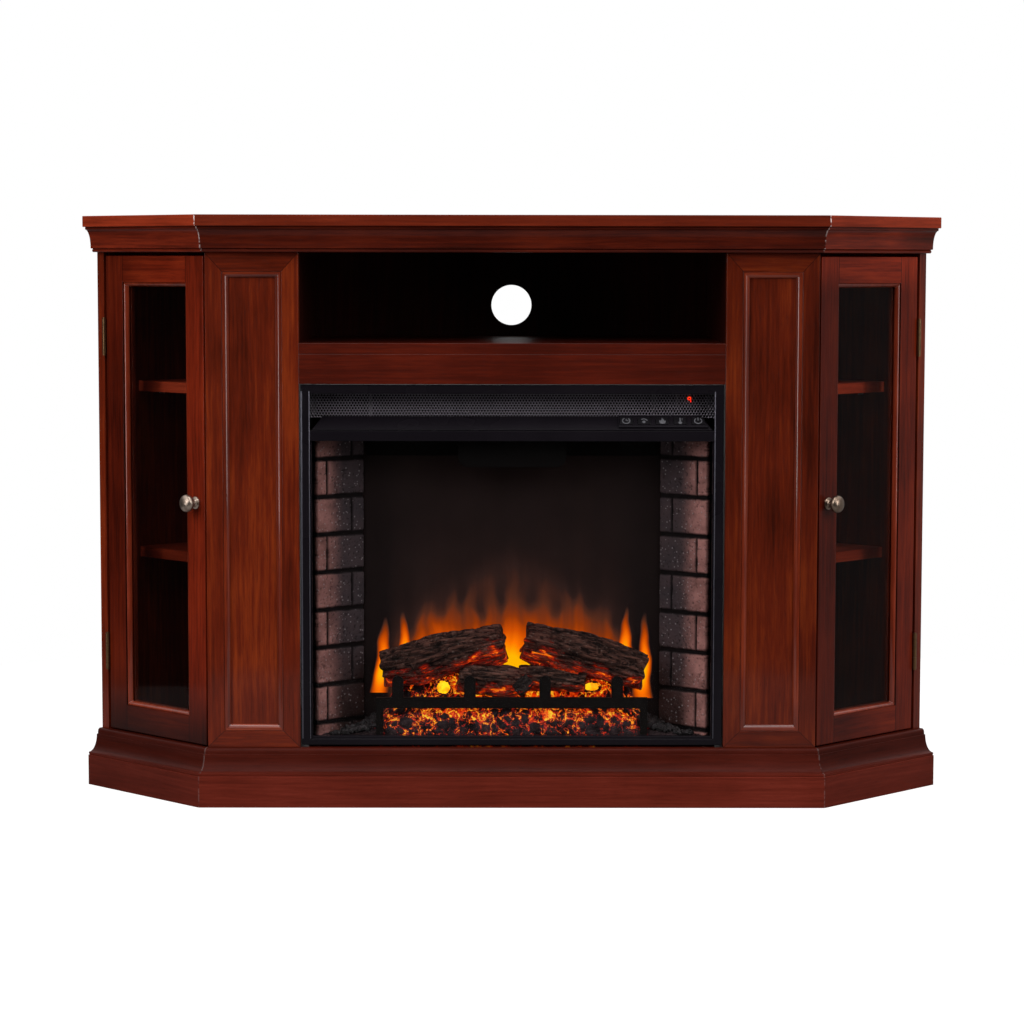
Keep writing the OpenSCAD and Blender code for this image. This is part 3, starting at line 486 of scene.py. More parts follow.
    def corners(self, graph: Graph, body: Sock) -> Sock:
        """Paint the wings' boards lighter or darker than the front ones as painted light, with a thin painted
        highlight along the mitre.

        Args:
            graph: the material's graph.
            body: the colour of the boards.

        Returns:
            The colour with the wings and the line in it.
        """
        if self.run is not Run.MITRED:
            return body
        x, y, z = graph.place()
        past = abs(x) + (y - FRONT_Y) * MITRE - HALF_FRONT
        # A pale painted highlight along the mitre, broken up by this noise.
        highlight_breaks = graph.noise(graph.spot(), 160.0, 1.0).ease(0.40, 0.56)
        # Painted light: the wings' boards are scaled lighter or darker than the front ones.
        board = graph.scaled(body, (past > 0.0) * (self.wing_painted_light - 1.0) + 1.0)
        line = (abs(past) < self.mitre_highlight_half) * highlight_breaks * self.mitre_highlight * z.ease(*self.mitre_highlight_z, 1.0, 0.22)
        return graph.mix(line, board, tone(226, 206, 202))


@dataclass(frozen=True)
class SatinPaint(Finish):
    """Baked satin paint or moulded plastic, with a fine grain and faint dust."""

    colour: Point = (22, 21, 23)
    gloss: float = 0.42
    grain: float = 900.0
    metal: float = 0.0
    dust: float = 0.12
    shine: float = 0.22

    def paint(self, graph: Graph) -> None:
        """Paint a fine texture with a lighter cast where dust gathers.

        Args:
            graph: the material's graph.
        """
        fine = graph.noise(graph.spot(), self.grain, 2.0)
        cloud = graph.noise(graph.spot(), 9.0, 3.0)
        dusty = tone(*(min(255.0, part * 1.35 + 8) for part in self.colour))
        body = graph.mix(cloud.ease(0.35, 0.8) * self.dust * 2, tone(*self.colour), dusty)
        graph.surface({"Base Color": body, "Metallic": self.metal, "Specular IOR Level": self.shine,
                       "Roughness": self.gloss + (cloud - 0.5) * 0.15,
                       "Normal": graph.bump(fine, 0.00008, 0.6)})


@dataclass(frozen=True)
class WornMetal(Finish):
    """Plated or bare metal with tarnish and fine scratches."""

    colour: Point = (176, 160, 148)
    tarnish: Point = (72, 52, 40)
    gloss: float = 0.28
    wear: float = 0.45

    def paint(self, graph: Graph) -> None:
        """Paint tarnish in clouds and fine scratches in the gloss.

        Args:
            graph: the material's graph.
        """
        x, y, z = graph.place()
        cloud = graph.noise(graph.spot(), 120.0, 4.0, 0.65)
        scratch = graph.noise(graph.vector(x * 90.0, y * 90.0, z * 1600.0), 1.0, 2.0)
        mask = cloud.ease(0.42, 0.72) * self.wear
        body = graph.mix(mask, tone(*self.colour), tone(*self.tarnish))
        graph.surface({"Base Color": body, "Metallic": 1.0,
                       "Roughness": self.gloss + mask * 0.3 + (scratch - 0.5) * 0.12,
                       "Normal": graph.bump(scratch, 0.00004, 0.5)})


HINGE_BRASS = WornMetal("hinge brass", (112, 84, 58), (50, 34, 22), 0.36)


@dataclass(frozen=True)
class TintedGlass(Finish):
    """Thin glass: a dark tint over what lies behind, with a faint film of dust in its gloss."""

    tint: Point = (8, 4, 4)
    cover: float = 0.2

    def paint(self, graph: Graph) -> None:
        """Paint a clear sheet whose gloss varies slightly.

        Args:
            graph: the material's graph.
        """
        film = graph.noise(graph.spot(), 14.0, 3.0)
        body = graph.mix(film, tone(*self.tint), tone(*(part * 1.3 for part in self.tint)))
        graph.surface({"Base Color": body, "Roughness": 0.03 + film * 0.03, "IOR": 1.5,
                       "Specular IOR Level": 0.22, "Alpha": self.cover})


@dataclass(frozen=True)
class FireBrick(Finish):
    """Moulded brick lining: pitted grey-brown bricks with dark joints, darker towards the back."""

    # Depth behind the insert's face over which the bricks turn dark, and height over which that dark goes
    # from brownish black at the bottom to grey
    darkening_y: Pair = (0.033, 0.055)
    grey_z: Pair = (0.12, 0.24)
    # The right-hand panel gets more light: two places across, and the gain at each
    gain_x: Span = (-0.2, 0.2, 1.0, 1.35)

    def paint(self, graph: Graph) -> None:
        """Paint bricks and joints by the mesh's own brick attribute.

        Args:
            graph: the material's graph.
        """
        x, y, z = graph.place()
        spot = graph.spot()
        brick = graph.attribute("brick")
        cloud = graph.noise(spot, 32.0, 4.0, 0.6)
        # Raised specks on the bricks, bumped up and given pale painted highlights.
        speck_and_highlight = graph.cells(spot, 170.0).ease(0.12, 0.26, 1.0, 0.0) * brick
        face = graph.ramp(cloud, [(0.32, tone(104, 70, 66)), (0.72, tone(160, 112, 106))])
        darker_back = y.ease(*(INSERT_Y + back for back in self.darkening_y)) * 0.92
        back_colour = graph.mix(z.ease(*self.grey_z, 1.0, 0.0), tone(46, 44, 48), tone(22, 15, 14))
        back_darkened = graph.mix(darker_back, graph.scaled(face, x.ease(*self.gain_x)), back_colour)
        speck_highlighted = graph.mix(speck_and_highlight * 0.45, back_darkened, tone(160, 150, 152))
        body = graph.mix(1 - brick, speck_highlighted, tone(15, 11, 11))
        fine = graph.noise(spot, 700.0, 3.0) + speck_and_highlight * 2.0
        graph.surface({"Base Color": body, "Roughness": 0.82, "Specular IOR Level": 0.08,
                       "Normal": graph.bump(fine, 0.0004, 0.5)})


@dataclass(frozen=True)
class CharredBark(Finish):
    """Resin log: char-grey bark whose deep cracks glow from within, with painted light from the embers on its
    underside.
    """

    bark: Point = (94, 60, 51)
    # Red tint of the painted ember light on the bark's underside
    ember_light_tint: Point = (122, 44, 26)
    glow: float = 1.0
    # Waves of the bark's fibre, along the log and round it, a metre
    fibres: Pair = (46.0, 250.0)

    def paint(self, graph: Graph) -> None:
        """Paint bark along the log, dark in its cracks, and light it by the glow attribute.

        Args:
            graph: the material's graph.
        """
        crevice = graph.attribute("crevice")
        heat = graph.attribute("glow")
        along, around = self.fibres
        fibre = graph.vector(graph.attribute("length") * along, graph.attribute("around") * around,
                             crevice * 0.3)
        rib = graph.noise(fibre, 1.0, 4.0, 0.62, 0.5)
        split = graph.threads(fibre, 0.55, 0.035, 3.0, 0.6, 0.8)
        thread = graph.threads(fibre, 0.9, 0.05, 2.0, 0.6, 1.0)
        ash = graph.noise(graph.spot(), 300.0, 3.0, 0.6)
        body = graph.ramp(rib, [(0.36, tone(*(part * 0.30 for part in self.bark))), (0.66, tone(*self.bark))])
        # Painted light: the bark turns red where the glow attribute holds the embers' light from below.
        ember_lit = graph.mix(heat.ease(0.02, 0.5) * 0.75, body, tone(*self.ember_light_tint))
        dusted = graph.mix(ash.ease(0.56, 0.72) * 0.35, ember_lit, tone(140, 122, 114))
        crack = crevice.at_least(split)
        charred = graph.mix(crack * 0.9, dusted, tone(10, 6, 5))
        fire = heat * (0.08 + crack * 0.50 + thread * 0.65 + (rib - 0.5))
        light = graph.ramp(fire.at_least(0.0).at_most(1.0), [
            (0.08, BLACK), (0.26, tone(128, 16, 2)), (0.50, tone(222, 54, 3)), (0.80, tone(255, 138, 18))])
        graph.surface({"Base Color": charred, "Roughness": 0.85, "Specular IOR Level": 0.10,
                       "Emission Color": light, "Emission Strength": self.glow,
                       "Normal": graph.bump(rib + ash * 0.6 - split * 0.8, 0.0026, 0.9)})


@dataclass(frozen=True)
class GlowingEmber(Finish):
    """Ember bed: ashy lumps over translucent resin lit from below."""

    glow: float = 1.0

    def paint(self, graph: Graph) -> None:
        """Paint lumps and veins by the mesh's own vein attribute.

        Args:
            graph: the material's graph.
        """
        spot = graph.spot()
        vein = graph.attribute("vein")
        cloud = graph.noise(spot, 70.0, 4.0, 0.6)
        ash = graph.noise(spot, 330.0, 3.0, 0.6)
        strand = graph.threads(spot, 82.0, 0.034, 3.0, 0.5, 1.0)
        wisp = graph.threads(spot, 170.0, 0.036, 1.0, 0.5, 0.8)
        body = graph.ramp(cloud, [(0.3, tone(14, 10, 11)), (0.75, tone(56, 44, 46))])
        dusted = graph.mix(ash.ease(0.6, 0.78) * 0.28, body, tone(112, 92, 84))
        live = vein.ease(0.03, 0.35)
        fire = vein * 0.44 + (strand * 0.62 + wisp * 0.30 + (cloud - 0.5) * 1.1 - 0.10) * live
        light = graph.ramp(fire.at_least(0.0).at_most(1.0), [
            (0.12, BLACK), (0.26, tone(134, 12, 0)), (0.44, tone(228, 46, 0)),
            (0.64, tone(255, 108, 2)), (0.90, tone(255, 214, 48))])
        graph.surface({"Base Color": dusted, "Roughness": 0.9, "Specular IOR Level": 0.05,
                       "Emission Color": light, "Emission Strength": self.glow,
                       "Normal": graph.bump(ash, 0.0008, 0.6)})


@dataclass(frozen=True)
class Coal(Finish):
    """Loose charcoal: near-black with grey sparkle on its broken faces."""

    def paint(self, graph: Graph) -> None:
        """Paint broken black faces with a grey bloom.

        Args:
            graph: the material's graph.
        """
        cloud = graph.noise(graph.spot(), 160.0, 4.0, 0.65)
        fine = graph.noise(graph.spot(), 800.0, 2.0)
        body = graph.ramp(cloud, [(0.35, tone(10, 8, 8)), (0.75, tone(52, 47, 49))])
        graph.surface({"Base Color": body, "Roughness": 0.55 + fine * 0.3, "Specular IOR Level": 0.2,
                       "Normal": graph.bump(cloud + fine * 0.3, 0.001, 0.6)})


@dataclass(frozen=True)
class Tongue:
    """One flame on the screen, in millimetres: foot, tip, half-width and heat."""

    foot: Pair
    tip: Pair
    half: float
    heat: float


@dataclass(frozen=True)
class FlameFilm(Finish):
    """Dark diffusing screen with the flame picture glowing on it."""

    tongues: tuple[Tongue, ...] = ()
    # Dark gaps in the wall of flame, in millimetres: middle, foot and half-width
    gaps: tuple[Point, ...] = ()
    strength: float = 1.15
    # Wall of flame, in metres: its foot, the height over which it fades, its crest, and where its sides end
    foot: float = 0.176
    fade: float = 0.066
    crest: float = 0.335
    sides: Pair = (0.090, 0.174)

    def flame(self, x: Sock, z: Sock, tongue: Tongue) -> Sock:
        """Work out one tongue of flame.

        Args:
            x: place across, bent by the draught.
            z: height above the floor.
            tongue: the tongue.

        Returns:
            Its heat at that place, 0 outside it.
        """
        (foot_x, foot_z), (tip_x, tip_z) = tongue.foot, tongue.tip
        rise = (z - foot_z * MM) / ((tip_z - foot_z) * MM)
        up = rise.at_least(0.0).at_most(1.0)
        middle = up * ((tip_x - foot_x) * MM) + foot_x * MM
        wide = (1 - (up ** 1.6) * 0.8) * (tongue.half * MM)
        off = abs(x - middle) / wide
        side = (1 - off * off).at_least(0.0) ** 0.7
        return side * ((1 - up) ** 0.75) * tongue.heat * rise.ease(-0.02, 0.32, 0.5, 1.0) * (rise > -0.02)

    def wall(self, graph: Graph, x: Sock, z: Sock) -> Sock:
        """Work out the wall of flame behind the logs: it fades upwards and parts round dark gaps.

        Args:
            graph: the material's graph.
            x: place across, bent by the draught.
            z: height above the floor.

        Returns:
            Its heat at that place.
        """
        dark: Value = 0.0
        for middle, foot, half in self.gaps:
            above = (z - foot * MM).at_least(0.0)
            off = (x - middle * MM) / ((above / 0.050 + 1.0) * (half * MM))
            lift = z - (off * off * 5.0 + foot) * MM
            shut = lift.ease(0.015, 0.080, 1.0, 0.12)
            dark = (abs(off).ease(0.20, 1.5, 1.0, 0.0) * lift.ease(-0.008, 0.024) * shut).at_least(dark)
        streak = graph.noise(graph.vector(x * 46.0 + 2.0, 0.0, z * 3.0), 1.0, 2.0)
        combed = (1 - dark * 0.60) * streak.ease(0.25, 0.7, 0.75, 1.2)
        height = (z - self.foot).at_least(0.0) / self.fade
        faded = (height * -1.0).math("EXPONENT")
        top = (z + abs(x) * 0.6 - self.crest).ease(-0.020, 0.035, 1.0, 0.3)
        return faded * combed * top * abs(x).ease(*self.sides, 1.0, 0.0) ** 0.45

    def paint(self, graph: Graph) -> None:
        """Paint the wall of flame, the single tongues in front of it and the dark screen round them.

        Args:
            graph: the material's graph.
        """
        x, y, z = graph.place()
        drift = graph.noise(graph.vector(x * 12.0, y, z * 17.0), 1.0, 1.0) - 0.5
        curl = graph.noise(graph.vector(x * 50.0, y, z * 34.0 + 7.0), 1.0, 1.0) - 0.5
        bent = x + drift * 0.024 + curl * 0.005
        heat = self.wall(graph, bent, z)
        for tongue in self.tongues:
            one = self.flame(bent, z, tongue)
            heat = heat.at_least(one) + heat.at_most(one) * 0.2
        light = graph.ramp(heat.at_most(1.0), [
            (0.0, BLACK), (0.10, tone(34, 17, 12)), (0.22, tone(76, 35, 17)), (0.38, tone(138, 51, 3)),
            (0.56, tone(206, 78, 0)), (0.74, tone(252, 116, 0)), (1.0, tone(255, 180, 2))])
        dull = graph.mix(graph.noise(graph.spot(), 12.0, 3.0), tone(22, 15, 15), tone(34, 25, 24))
        body = graph.mix(heat.ease(0.15, 0.5), dull, BLACK)
        graph.surface({"Base Color": body, "Roughness": 0.6, "Specular IOR Level": 0.05,
                       "Emission Color": light, "Emission Strength": self.strength})


@dataclass(frozen=True)
class Lamp(Finish):
    """A lit lens: brightest in its middle."""

    core: Point = (255, 226, 90)
    rim: Point = (248, 130, 10)
    strength: float = 1.2

    def paint(self, graph: Graph) -> None:
        """Paint a cloudy glow.

        Args:
            graph: the material's graph.
        """
        cloud = graph.noise(graph.spot(), 90.0, 2.0)
        light = graph.mix(cloud.ease(0.35, 0.65), tone(*self.rim), tone(*self.core))
        graph.surface({"Base Color": light, "Roughness": 0.5, "Emission Color": light,
                       "Emission Strength": self.strength})


@dataclass(frozen=True)
class StageFloor(Finish):
    """White studio floor that keeps a soft shadow."""

    own_light: float = 0.86
    in_gloss: float = 0.05

    def paint(self, graph: Graph) -> None:
        """Paint a matt white floor, lifted to the backdrop's white where the camera or gloss sees it.

        Args:
            graph: the material's graph.
        """
        seen = graph.ray("Camera").at_least(graph.ray("Transmission"))
        seen = seen.at_least(graph.ray("Glossy") * self.in_gloss)
        matt = graph.node("BsdfDiffuse", {}, {"Color": (0.22, 0.22, 0.22, 1.0)})
        lift = graph.node("Emission", {}, {"Color": WHITE, "Strength": seen * self.own_light})
        graph.close(graph.node("AddShader", {}, {0: matt, 1: lift}))


# ---- making and dressing pieces ----

def modify(piece: bpy.types.Object, name: str, kind: str, **settings: Any) -> None:
    """Add a modifier to a piece.

    Args:
        piece: the object.
        name: the modifier's name.
        kind: its type.
        **settings: its properties.
    """
    made = piece.modifiers.new(name, kind)
    for key, value in settings.items():
        setattr(made, key, value)


def dress(nodes: Iterable[str], finish: Finish, ease: float = 0.0, steps: int = 2) -> None:
    """Give CAD nodes a finish and, where asked, eased edges.

    Args:
        nodes: names of the nodes.
        finish: the finish for all of them.
        ease: width of the eased edge in metres, or 0 for none.
        steps: facets over each edge.
    """
    for name in nodes:
        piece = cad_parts[name]
        for slot in piece.material_slots:
            slot.material = material_of(finish)
        if ease:
            modify(piece, "weld", "WELD", merge_threshold=1e-5)
            modify(piece, "eased", "BEVEL", width=ease, segments=steps, limit_method="ANGLE",
                   angle_limit=math.radians(30), use_clamp_overlap=True)
            modify(piece, "face normals", "WEIGHTED_NORMAL")


class Workpiece:
    """A new mesh on the bench, until it is finished and rides on a body."""

    def __init__(self, name: str) -> None:
        """Start an empty mesh."""
        self.name = name
        self.mesh = bmesh.new()

    def move(self, shape: Callable[[Vector], Vector]) -> None:
        """Send every point through a function."""
        for vertex in self.mesh.verts:
            vertex.co = shape(vertex.co)

    def skirt(self, axis: int, level: float) -> None:
        """Pull the open rim out to a level on an axis, and close it there.

        Args:
            axis: 0, 1 or 2 for X, Y or Z.
            level: where the skirt ends on that axis.
        """
        rim = [line for line in self.mesh.edges if line.is_boundary]
        for part in bmesh.ops.extrude_edge_only(self.mesh, edges=rim)["geom"]:
            if isinstance(part, bmesh.types.BMVert):
                part.co[axis] = level
        bmesh.ops.edgeloop_fill(self.mesh, edges=[line for line in self.mesh.edges if line.is_boundary])

    def close_up(self, distance: float = 1e-6) -> None:
        """Merge doubles and point the faces outwards."""
        bmesh.ops.remove_doubles(self.mesh, verts=self.mesh.verts, dist=distance)
        bmesh.ops.recalc_face_normals(self.mesh, faces=self.mesh.faces)

    def finish(self, body: str, slot: str, finish: Finish, stands_for: Sequence[str] = (),
               flat: bool = False) -> bpy.types.Object:
        """Turn the mesh into an object that rides on a body.

        Args:
            body: the body that it rides on.
            slot: the record's material slot; not used.
            finish: its finish.
            stands_for: the CAD nodes that it replaces.
            flat: keep its faces flat-shaded.

        Returns:
            The new object.
        """
        data = bpy.data.meshes.new(self.name)
        self.mesh.to_mesh(data)
        self.mesh.free()
        data.polygons.foreach_set("use_smooth", [not flat] * len(data.polygons))
        data.materials.append(material_of(finish))
        piece = place_object(self.name, data)
        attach(piece, body)
        if stands_for:
            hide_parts(*stands_for)
        LOG.info("%s: %d faces", self.name, len(data.polygons))
        return piece


# ---- cabinet ----

@dataclass
class Cabinet:
    """The mahogany case with its fixed fittings."""

    # Widths of the eased edges, in metres
    edge: float = 0.0009
    moulding_edge: float = 0.0004
    rail_edge: float = 0.0006
    inner_edge: float = 0.0005
    bead_edge: float = 0.0012
    top_tones: Tones = ((124, 44, 22), (98, 31, 14), (70, 19, 7))
    crown_tones: Tones = ((94, 29, 12), (66, 17, 7), (38, 9, 3))
    plinth_tones: Tones = ((120, 46, 34), (96, 33, 22), (64, 19, 11))
    bead_tones: Tones = ((136, 52, 22), (100, 32, 13), (66, 18, 7))
    rail_tones: Tones = ((94, 27, 11), (67, 17, 7), (42, 10, 4))
    # Painted shade and light: the inner boards are a darker copy of the mahogany, the shelves a much lighter
    # one.
    shaded_inner_tones: Tones = ((56, 14, 8), (42, 10, 5), (28, 7, 3))
    lit_shelf_tones: Tones = ((190, 74, 44), (156, 54, 30), (120, 38, 20))

    def build(self) -> None:
        """Dress every node of the case."""
        self.mouldings()
        self.pilasters()
        self.boards()
        dress(["shelf_pins"], WornMetal("pin nickel", (190, 186, 182), (110, 106, 102)))
        dress(["magnet_catches"], SatinPaint("catch plastic", (52, 34, 26), 0.5))
        dress(["case_hinge_leaves"], HINGE_BRASS)

    def mouldings(self) -> None:
        """Dress the top and the runs that are mitred round the corners."""
        # Painted light: the top's and the crown's wings are painted lighter than their fronts, with a painted
        # highlight along their mitres; the base moulding's wings are a little darker.
        dress(["top_board"], Mahogany("top board", self.top_tones, Run.MITRED, wing_painted_light=2.2, mitre_highlight=0.9,
                                      coat=0.04, contrast=0.75), self.edge)
        dress(["crown_moulding"], Mahogany("crown moulding", self.crown_tones, Run.MITRED, seed=1,
                                           wing_painted_light=2.2, mitre_highlight=0.5, coat=0.15), self.moulding_edge)
        # Painted shade: the base moulding is painted darker at its left end and over its cove.
        dress(["plinth_moulding"],
              Mahogany("base moulding", self.plinth_tones, Run.MITRED, seed=2, wing_painted_light=0.85,
                       mitre_highlight=0.08, coat=0.0, sheen=0.05, contrast=0.6, painted_shading_x=(-0.50, -0.42, 0.75, 1.0),
                       painted_shading_z=(0.044, 0.050, 1.02, 0.44)), self.moulding_edge)
        dress(["front_rails", "media_shelf", "base_frame", "base_deck"],
              Mahogany("rail", self.rail_tones, Run.MITRED, seed=6, contrast=0.7), self.rail_edge)

    def pilasters(self) -> None:
        """Dress the frames beside the fire, their beads and their panels."""
        # Painted shade: the pilasters' frames and panels are painted darker towards the right.
        dress(["pilaster_frames"], Mahogany("pilaster frame", grain=Grain.FRAMED, seed=3,
                                            painted_shading_x=(-0.40, 0.40, 0.90, 0.64)), self.edge)
        dress(["pilaster_beads"], Mahogany("bead", self.bead_tones, grain=Grain.FRAMED, seed=4, coat=0.9),
              self.bead_edge, 3)
        dress(["pilaster_panels"], Mahogany("panel", grain=Grain.UPRIGHT, seed=5,
                                            painted_shading_x=(-0.40, 0.40, 0.88, 0.74)))

    def boards(self) -> None:
        """Dress the shelves, ends and back."""
        dress(["inner_partitions", "back_panel", "corner_posts"],
              Mahogany("inner board", self.shaded_inner_tones, grain=Grain.UPRIGHT, seed=7), self.inner_edge)
        dress(["end_panels"], Mahogany("end panel", run=Run.WINGS, grain=Grain.UPRIGHT, seed=8), self.edge)
        # Painted light: the shelves are painted lighter to the right and higher up.
        dress(["cabinet_shelves"], Mahogany("shelf", self.lit_shelf_tones, Run.WINGS, seed=9,
                                            painted_shading_x=(-0.45, 0.45, 0.95, 1.25),
                                            painted_shading_z=(0.35, 0.50, 0.80, 1.45)), self.inner_edge)


@dataclass
class GlazedDoor:
    """One glazed cabinet door, which swings on its hinge."""

    side: str
    seed: float
    # Spans of painted light and shade across and up the door: two places, and the share of the stain's tone
    # at each.
    painted_shading_x: Span
    painted_shading_z: Span
    # The knob's tone is lighter on the left door and darker on the right as painted light and shade.
    knob: Point
    edge: float = 0.0009
    bead_edge: float = 0.0014
    frame_tones: Tones = ((144, 48, 20), (112, 32, 13), (66, 16, 6))
    bead_tones: Tones = ((140, 54, 30), (108, 36, 17), (72, 20, 9))

    def build(self) -> None:
        """Dress the frame, the beads, the glass and the door's fittings."""
        side = self.side
        dress([f"door_frame_{side}"],
              Mahogany(f"door frame {side}", self.frame_tones, Run.WINGS, Grain.BUTTED, self.seed, coat=0.2,
                       sheen=0.06, painted_shading_x=self.painted_shading_x, painted_shading_z=self.painted_shading_z), self.edge)
        dress([f"door_beads_{side}"],
              Mahogany("door bead", self.bead_tones, Run.WINGS, Grain.UPRIGHT, 12, coat=0.8),
              self.bead_edge, 3)
        dress([f"door_glass_{side}"], TintedGlass("door glass", (8, 4, 4), 0.25))
        dress([f"door_knob_{side}"], WornMetal(f"knob nickel {side}", self.knob, (74, 52, 40), 0.3, 0.6))
        dress([f"door_hinge_leaves_{side}"], HINGE_BRASS)
        dress([f"strike_plate_{side}"], WornMetal("strike plate", (170, 168, 164), (96, 92, 90)))


# ---- insert ----

@dataclass
class AirOutlet:
    """The fine six-sided mesh over the hot air duct."""

    pitch: float = 4.1
    web: float = 0.52
    lip: float = 0.35
    thick: float = 0.6

    def build(self) -> None:
        """Build one pair of cells and lay it out in rows."""
        low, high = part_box("outlet_grille")
        pitch = self.pitch * MM
        radius = pitch / math.sqrt(3)
        row = radius * 1.5
        columns = int((high.x - low.x) / pitch)
        rows = int((high.z - low.z) / row / 2)
        left = -columns / 2 * pitch + pitch / 4
        bottom = (low.z + high.z) / 2 - (rows - 0.5) * row
        piece = Workpiece("outlet_mesh")
        for shift, lift in ((0.0, 0.0), (pitch / 2, row)):
            self.cell(piece.mesh, radius, Vector((left + shift, low.y, bottom + lift)))
        paint = SatinPaint("outlet mesh", (108, 102, 110), 0.34, metal=0.6)
        made = piece.finish("cabinet", "grille_black", paint, ["outlet_grille"], flat=True)
        for axis, step, count in ((0, pitch, columns), (2, row * 2, rows)):
            offset = tuple(step if axis == part else 0.0 for part in range(3))
            modify(made, "rows", "ARRAY", use_relative_offset=False, use_constant_offset=True,
                   constant_offset_displace=offset, count=count, use_merge_vertices=True,
                   merge_threshold=2e-5)

    def cell(self, mesh: bmesh.types.BMesh, radius: float, middle: Vector) -> None:
        """Build one cell: a six-sided ring, ridged in front.

        Args:
            mesh: the mesh that it joins.
            radius: from its middle to its corners, in metres.
            middle: the middle of its front.
        """
        turn = Matrix.Translation(middle) @ Matrix.Rotation(math.pi / 2, 4, "X") @ Matrix.Rotation(
            math.pi / 6, 4, "Z")
        ring = bmesh.ops.create_circle(mesh, cap_ends=True, segments=6, radius=radius, matrix=turn)
        face = ring["verts"][0].link_faces[0]
        bmesh.ops.inset_individual(mesh, faces=[face], thickness=self.web * MM, depth=0.0,
                                   use_even_offset=True)
        for vertex in face.verts:
            vertex.co.y += self.lip * MM
        cap = bmesh.ops.extrude_discrete_faces(mesh, faces=[face])["faces"][0]
        for vertex in cap.verts:
            vertex.co.y += (self.thick - self.lip) * MM
        bmesh.ops.delete(mesh, geom=[cap], context="FACES_ONLY")


class Icon(Enum):
    """The five keys' pictograms."""

    TIMER = "timer"
    DIMMER = "dimmer"
    FLAME = "flame"
    HEAT = "heat"
    POWER = "power"


@dataclass
class Relief:
    """Flat marks in millimetres on a key's face, raised by a film's thickness."""

    mesh: bmesh.types.BMesh

    def ring(self, x: float, y: float, radius: float, width: float, start: float = 0,
             sweep: float = 360) -> None:
        """Draw a ring, or an arc of one.

        Args:
            x: its middle across.
            y: its middle up.
            radius: from there to the middle of the line.
            width: width of the line.
            start: angle where it starts, in degrees.
            sweep: angle that it covers, in degrees.
        """
        first = self.mesh.verts.new((x + radius - width / 2, y, 0))
        second = self.mesh.verts.new((x + radius + width / 2, y, 0))
        line = self.mesh.edges.new((first, second))
        about = Vector((x, y, 0))
        bmesh.ops.rotate(self.mesh, verts=[first, second], cent=about,
                         matrix=Matrix.Rotation(math.radians(start), 3, "Z"))
        bmesh.ops.spin(self.mesh, geom=[first, second, line], cent=about, axis=(0, 0, 1),
                       angle=math.radians(sweep), steps=max(6, int(sweep / 15)), use_merge=sweep == 360)

    def outline(self, points: Sequence[tuple[float, float]]) -> None:
        """Draw a filled outline."""
        self.mesh.faces.new([self.mesh.verts.new((x, y, 0)) for x, y in points])

    def bar(self, x0: float, y0: float, x1: float, y1: float, width: float) -> None:
        """Draw a straight bar between two points.

        Args:
            x0: its start across.
            y0: its start up.
            x1: its end across.
            y1: its end up.
            width: its width.
        """
        line = Vector((x1 - x0, y1 - y0))
        side = Vector((-line.y, line.x)).normalized() * width / 2
        self.outline([(x0 - side.x, y0 - side.y), (x1 - side.x, y1 - side.y),
                      (x1 + side.x, y1 + side.y), (x0 + side.x, y0 + side.y)])

    def raise_up(self, height: float) -> None:
        """Give the marks their thickness.

        Args:
            height: the thickness.
        """
        bmesh.ops.remove_doubles(self.mesh, verts=self.mesh.verts, dist=1e-4)
        bmesh.ops.recalc_face_normals(self.mesh, faces=self.mesh.faces)
        for face in self.mesh.faces:
            if face.normal.z < 0:
                face.normal_flip()
        made = bmesh.ops.extrude_face_region(self.mesh, geom=list(self.mesh.faces),
                                             use_keep_orig=True)
        top = [part for part in made["geom"] if isinstance(part, bmesh.types.BMVert)]
        bmesh.ops.translate(self.mesh, verts=top, vec=(0, 0, height))
        bmesh.ops.recalc_face_normals(self.mesh, faces=self.mesh.faces)


# Strokes of each pictogram, in millimetres from the middle of its key: the stroke's kind, then its numbers
PICTOGRAMS: dict[Icon, tuple[tuple, ...]] = {
    Icon.TIMER: ((Relief.ring, 0, 0, 4.4, 1.3, 115, 300), (Relief.bar, 0, 0, 0, 2.8, 1.1),
                 (Relief.bar, 0.55, 0, 2.6, 0, 1.1)),
    Icon.DIMMER: ((Relief.ring, -0.4, -1.2, 4.2, 1.3, 15, 120), (Relief.ring, -0.4, -1.8, 1.0, 1.9)),
    Icon.FLAME: ((Relief.outline, ((-3.6, -1.6), (-2.6, -4), (0, -5), (2.8, -4.2), (4.2, -2), (3.8, 0.6),
                                   (2.6, -0.4), (1.8, 2.4), (-0.6, 5), (-0.6, 2), (-2, 0.2), (-3.2, 1.2))),),
    Icon.HEAT: ((Relief.ring, 0, -3, 1.05, 2.0), (Relief.bar, 0, -1.4, 0, 4.8, 1.5),
                (Relief.bar, 1.8, 3.6, 3.0, 3.6, 0.8), (Relief.bar, 1.8, 1.6, 3.0, 1.6, 0.8)),
    Icon.POWER: ((Relief.ring, 0, 0, 4.3, 1.3, 125, 290), (Relief.bar, 0, 0.6, 0, 5.2, 1.3)),
}


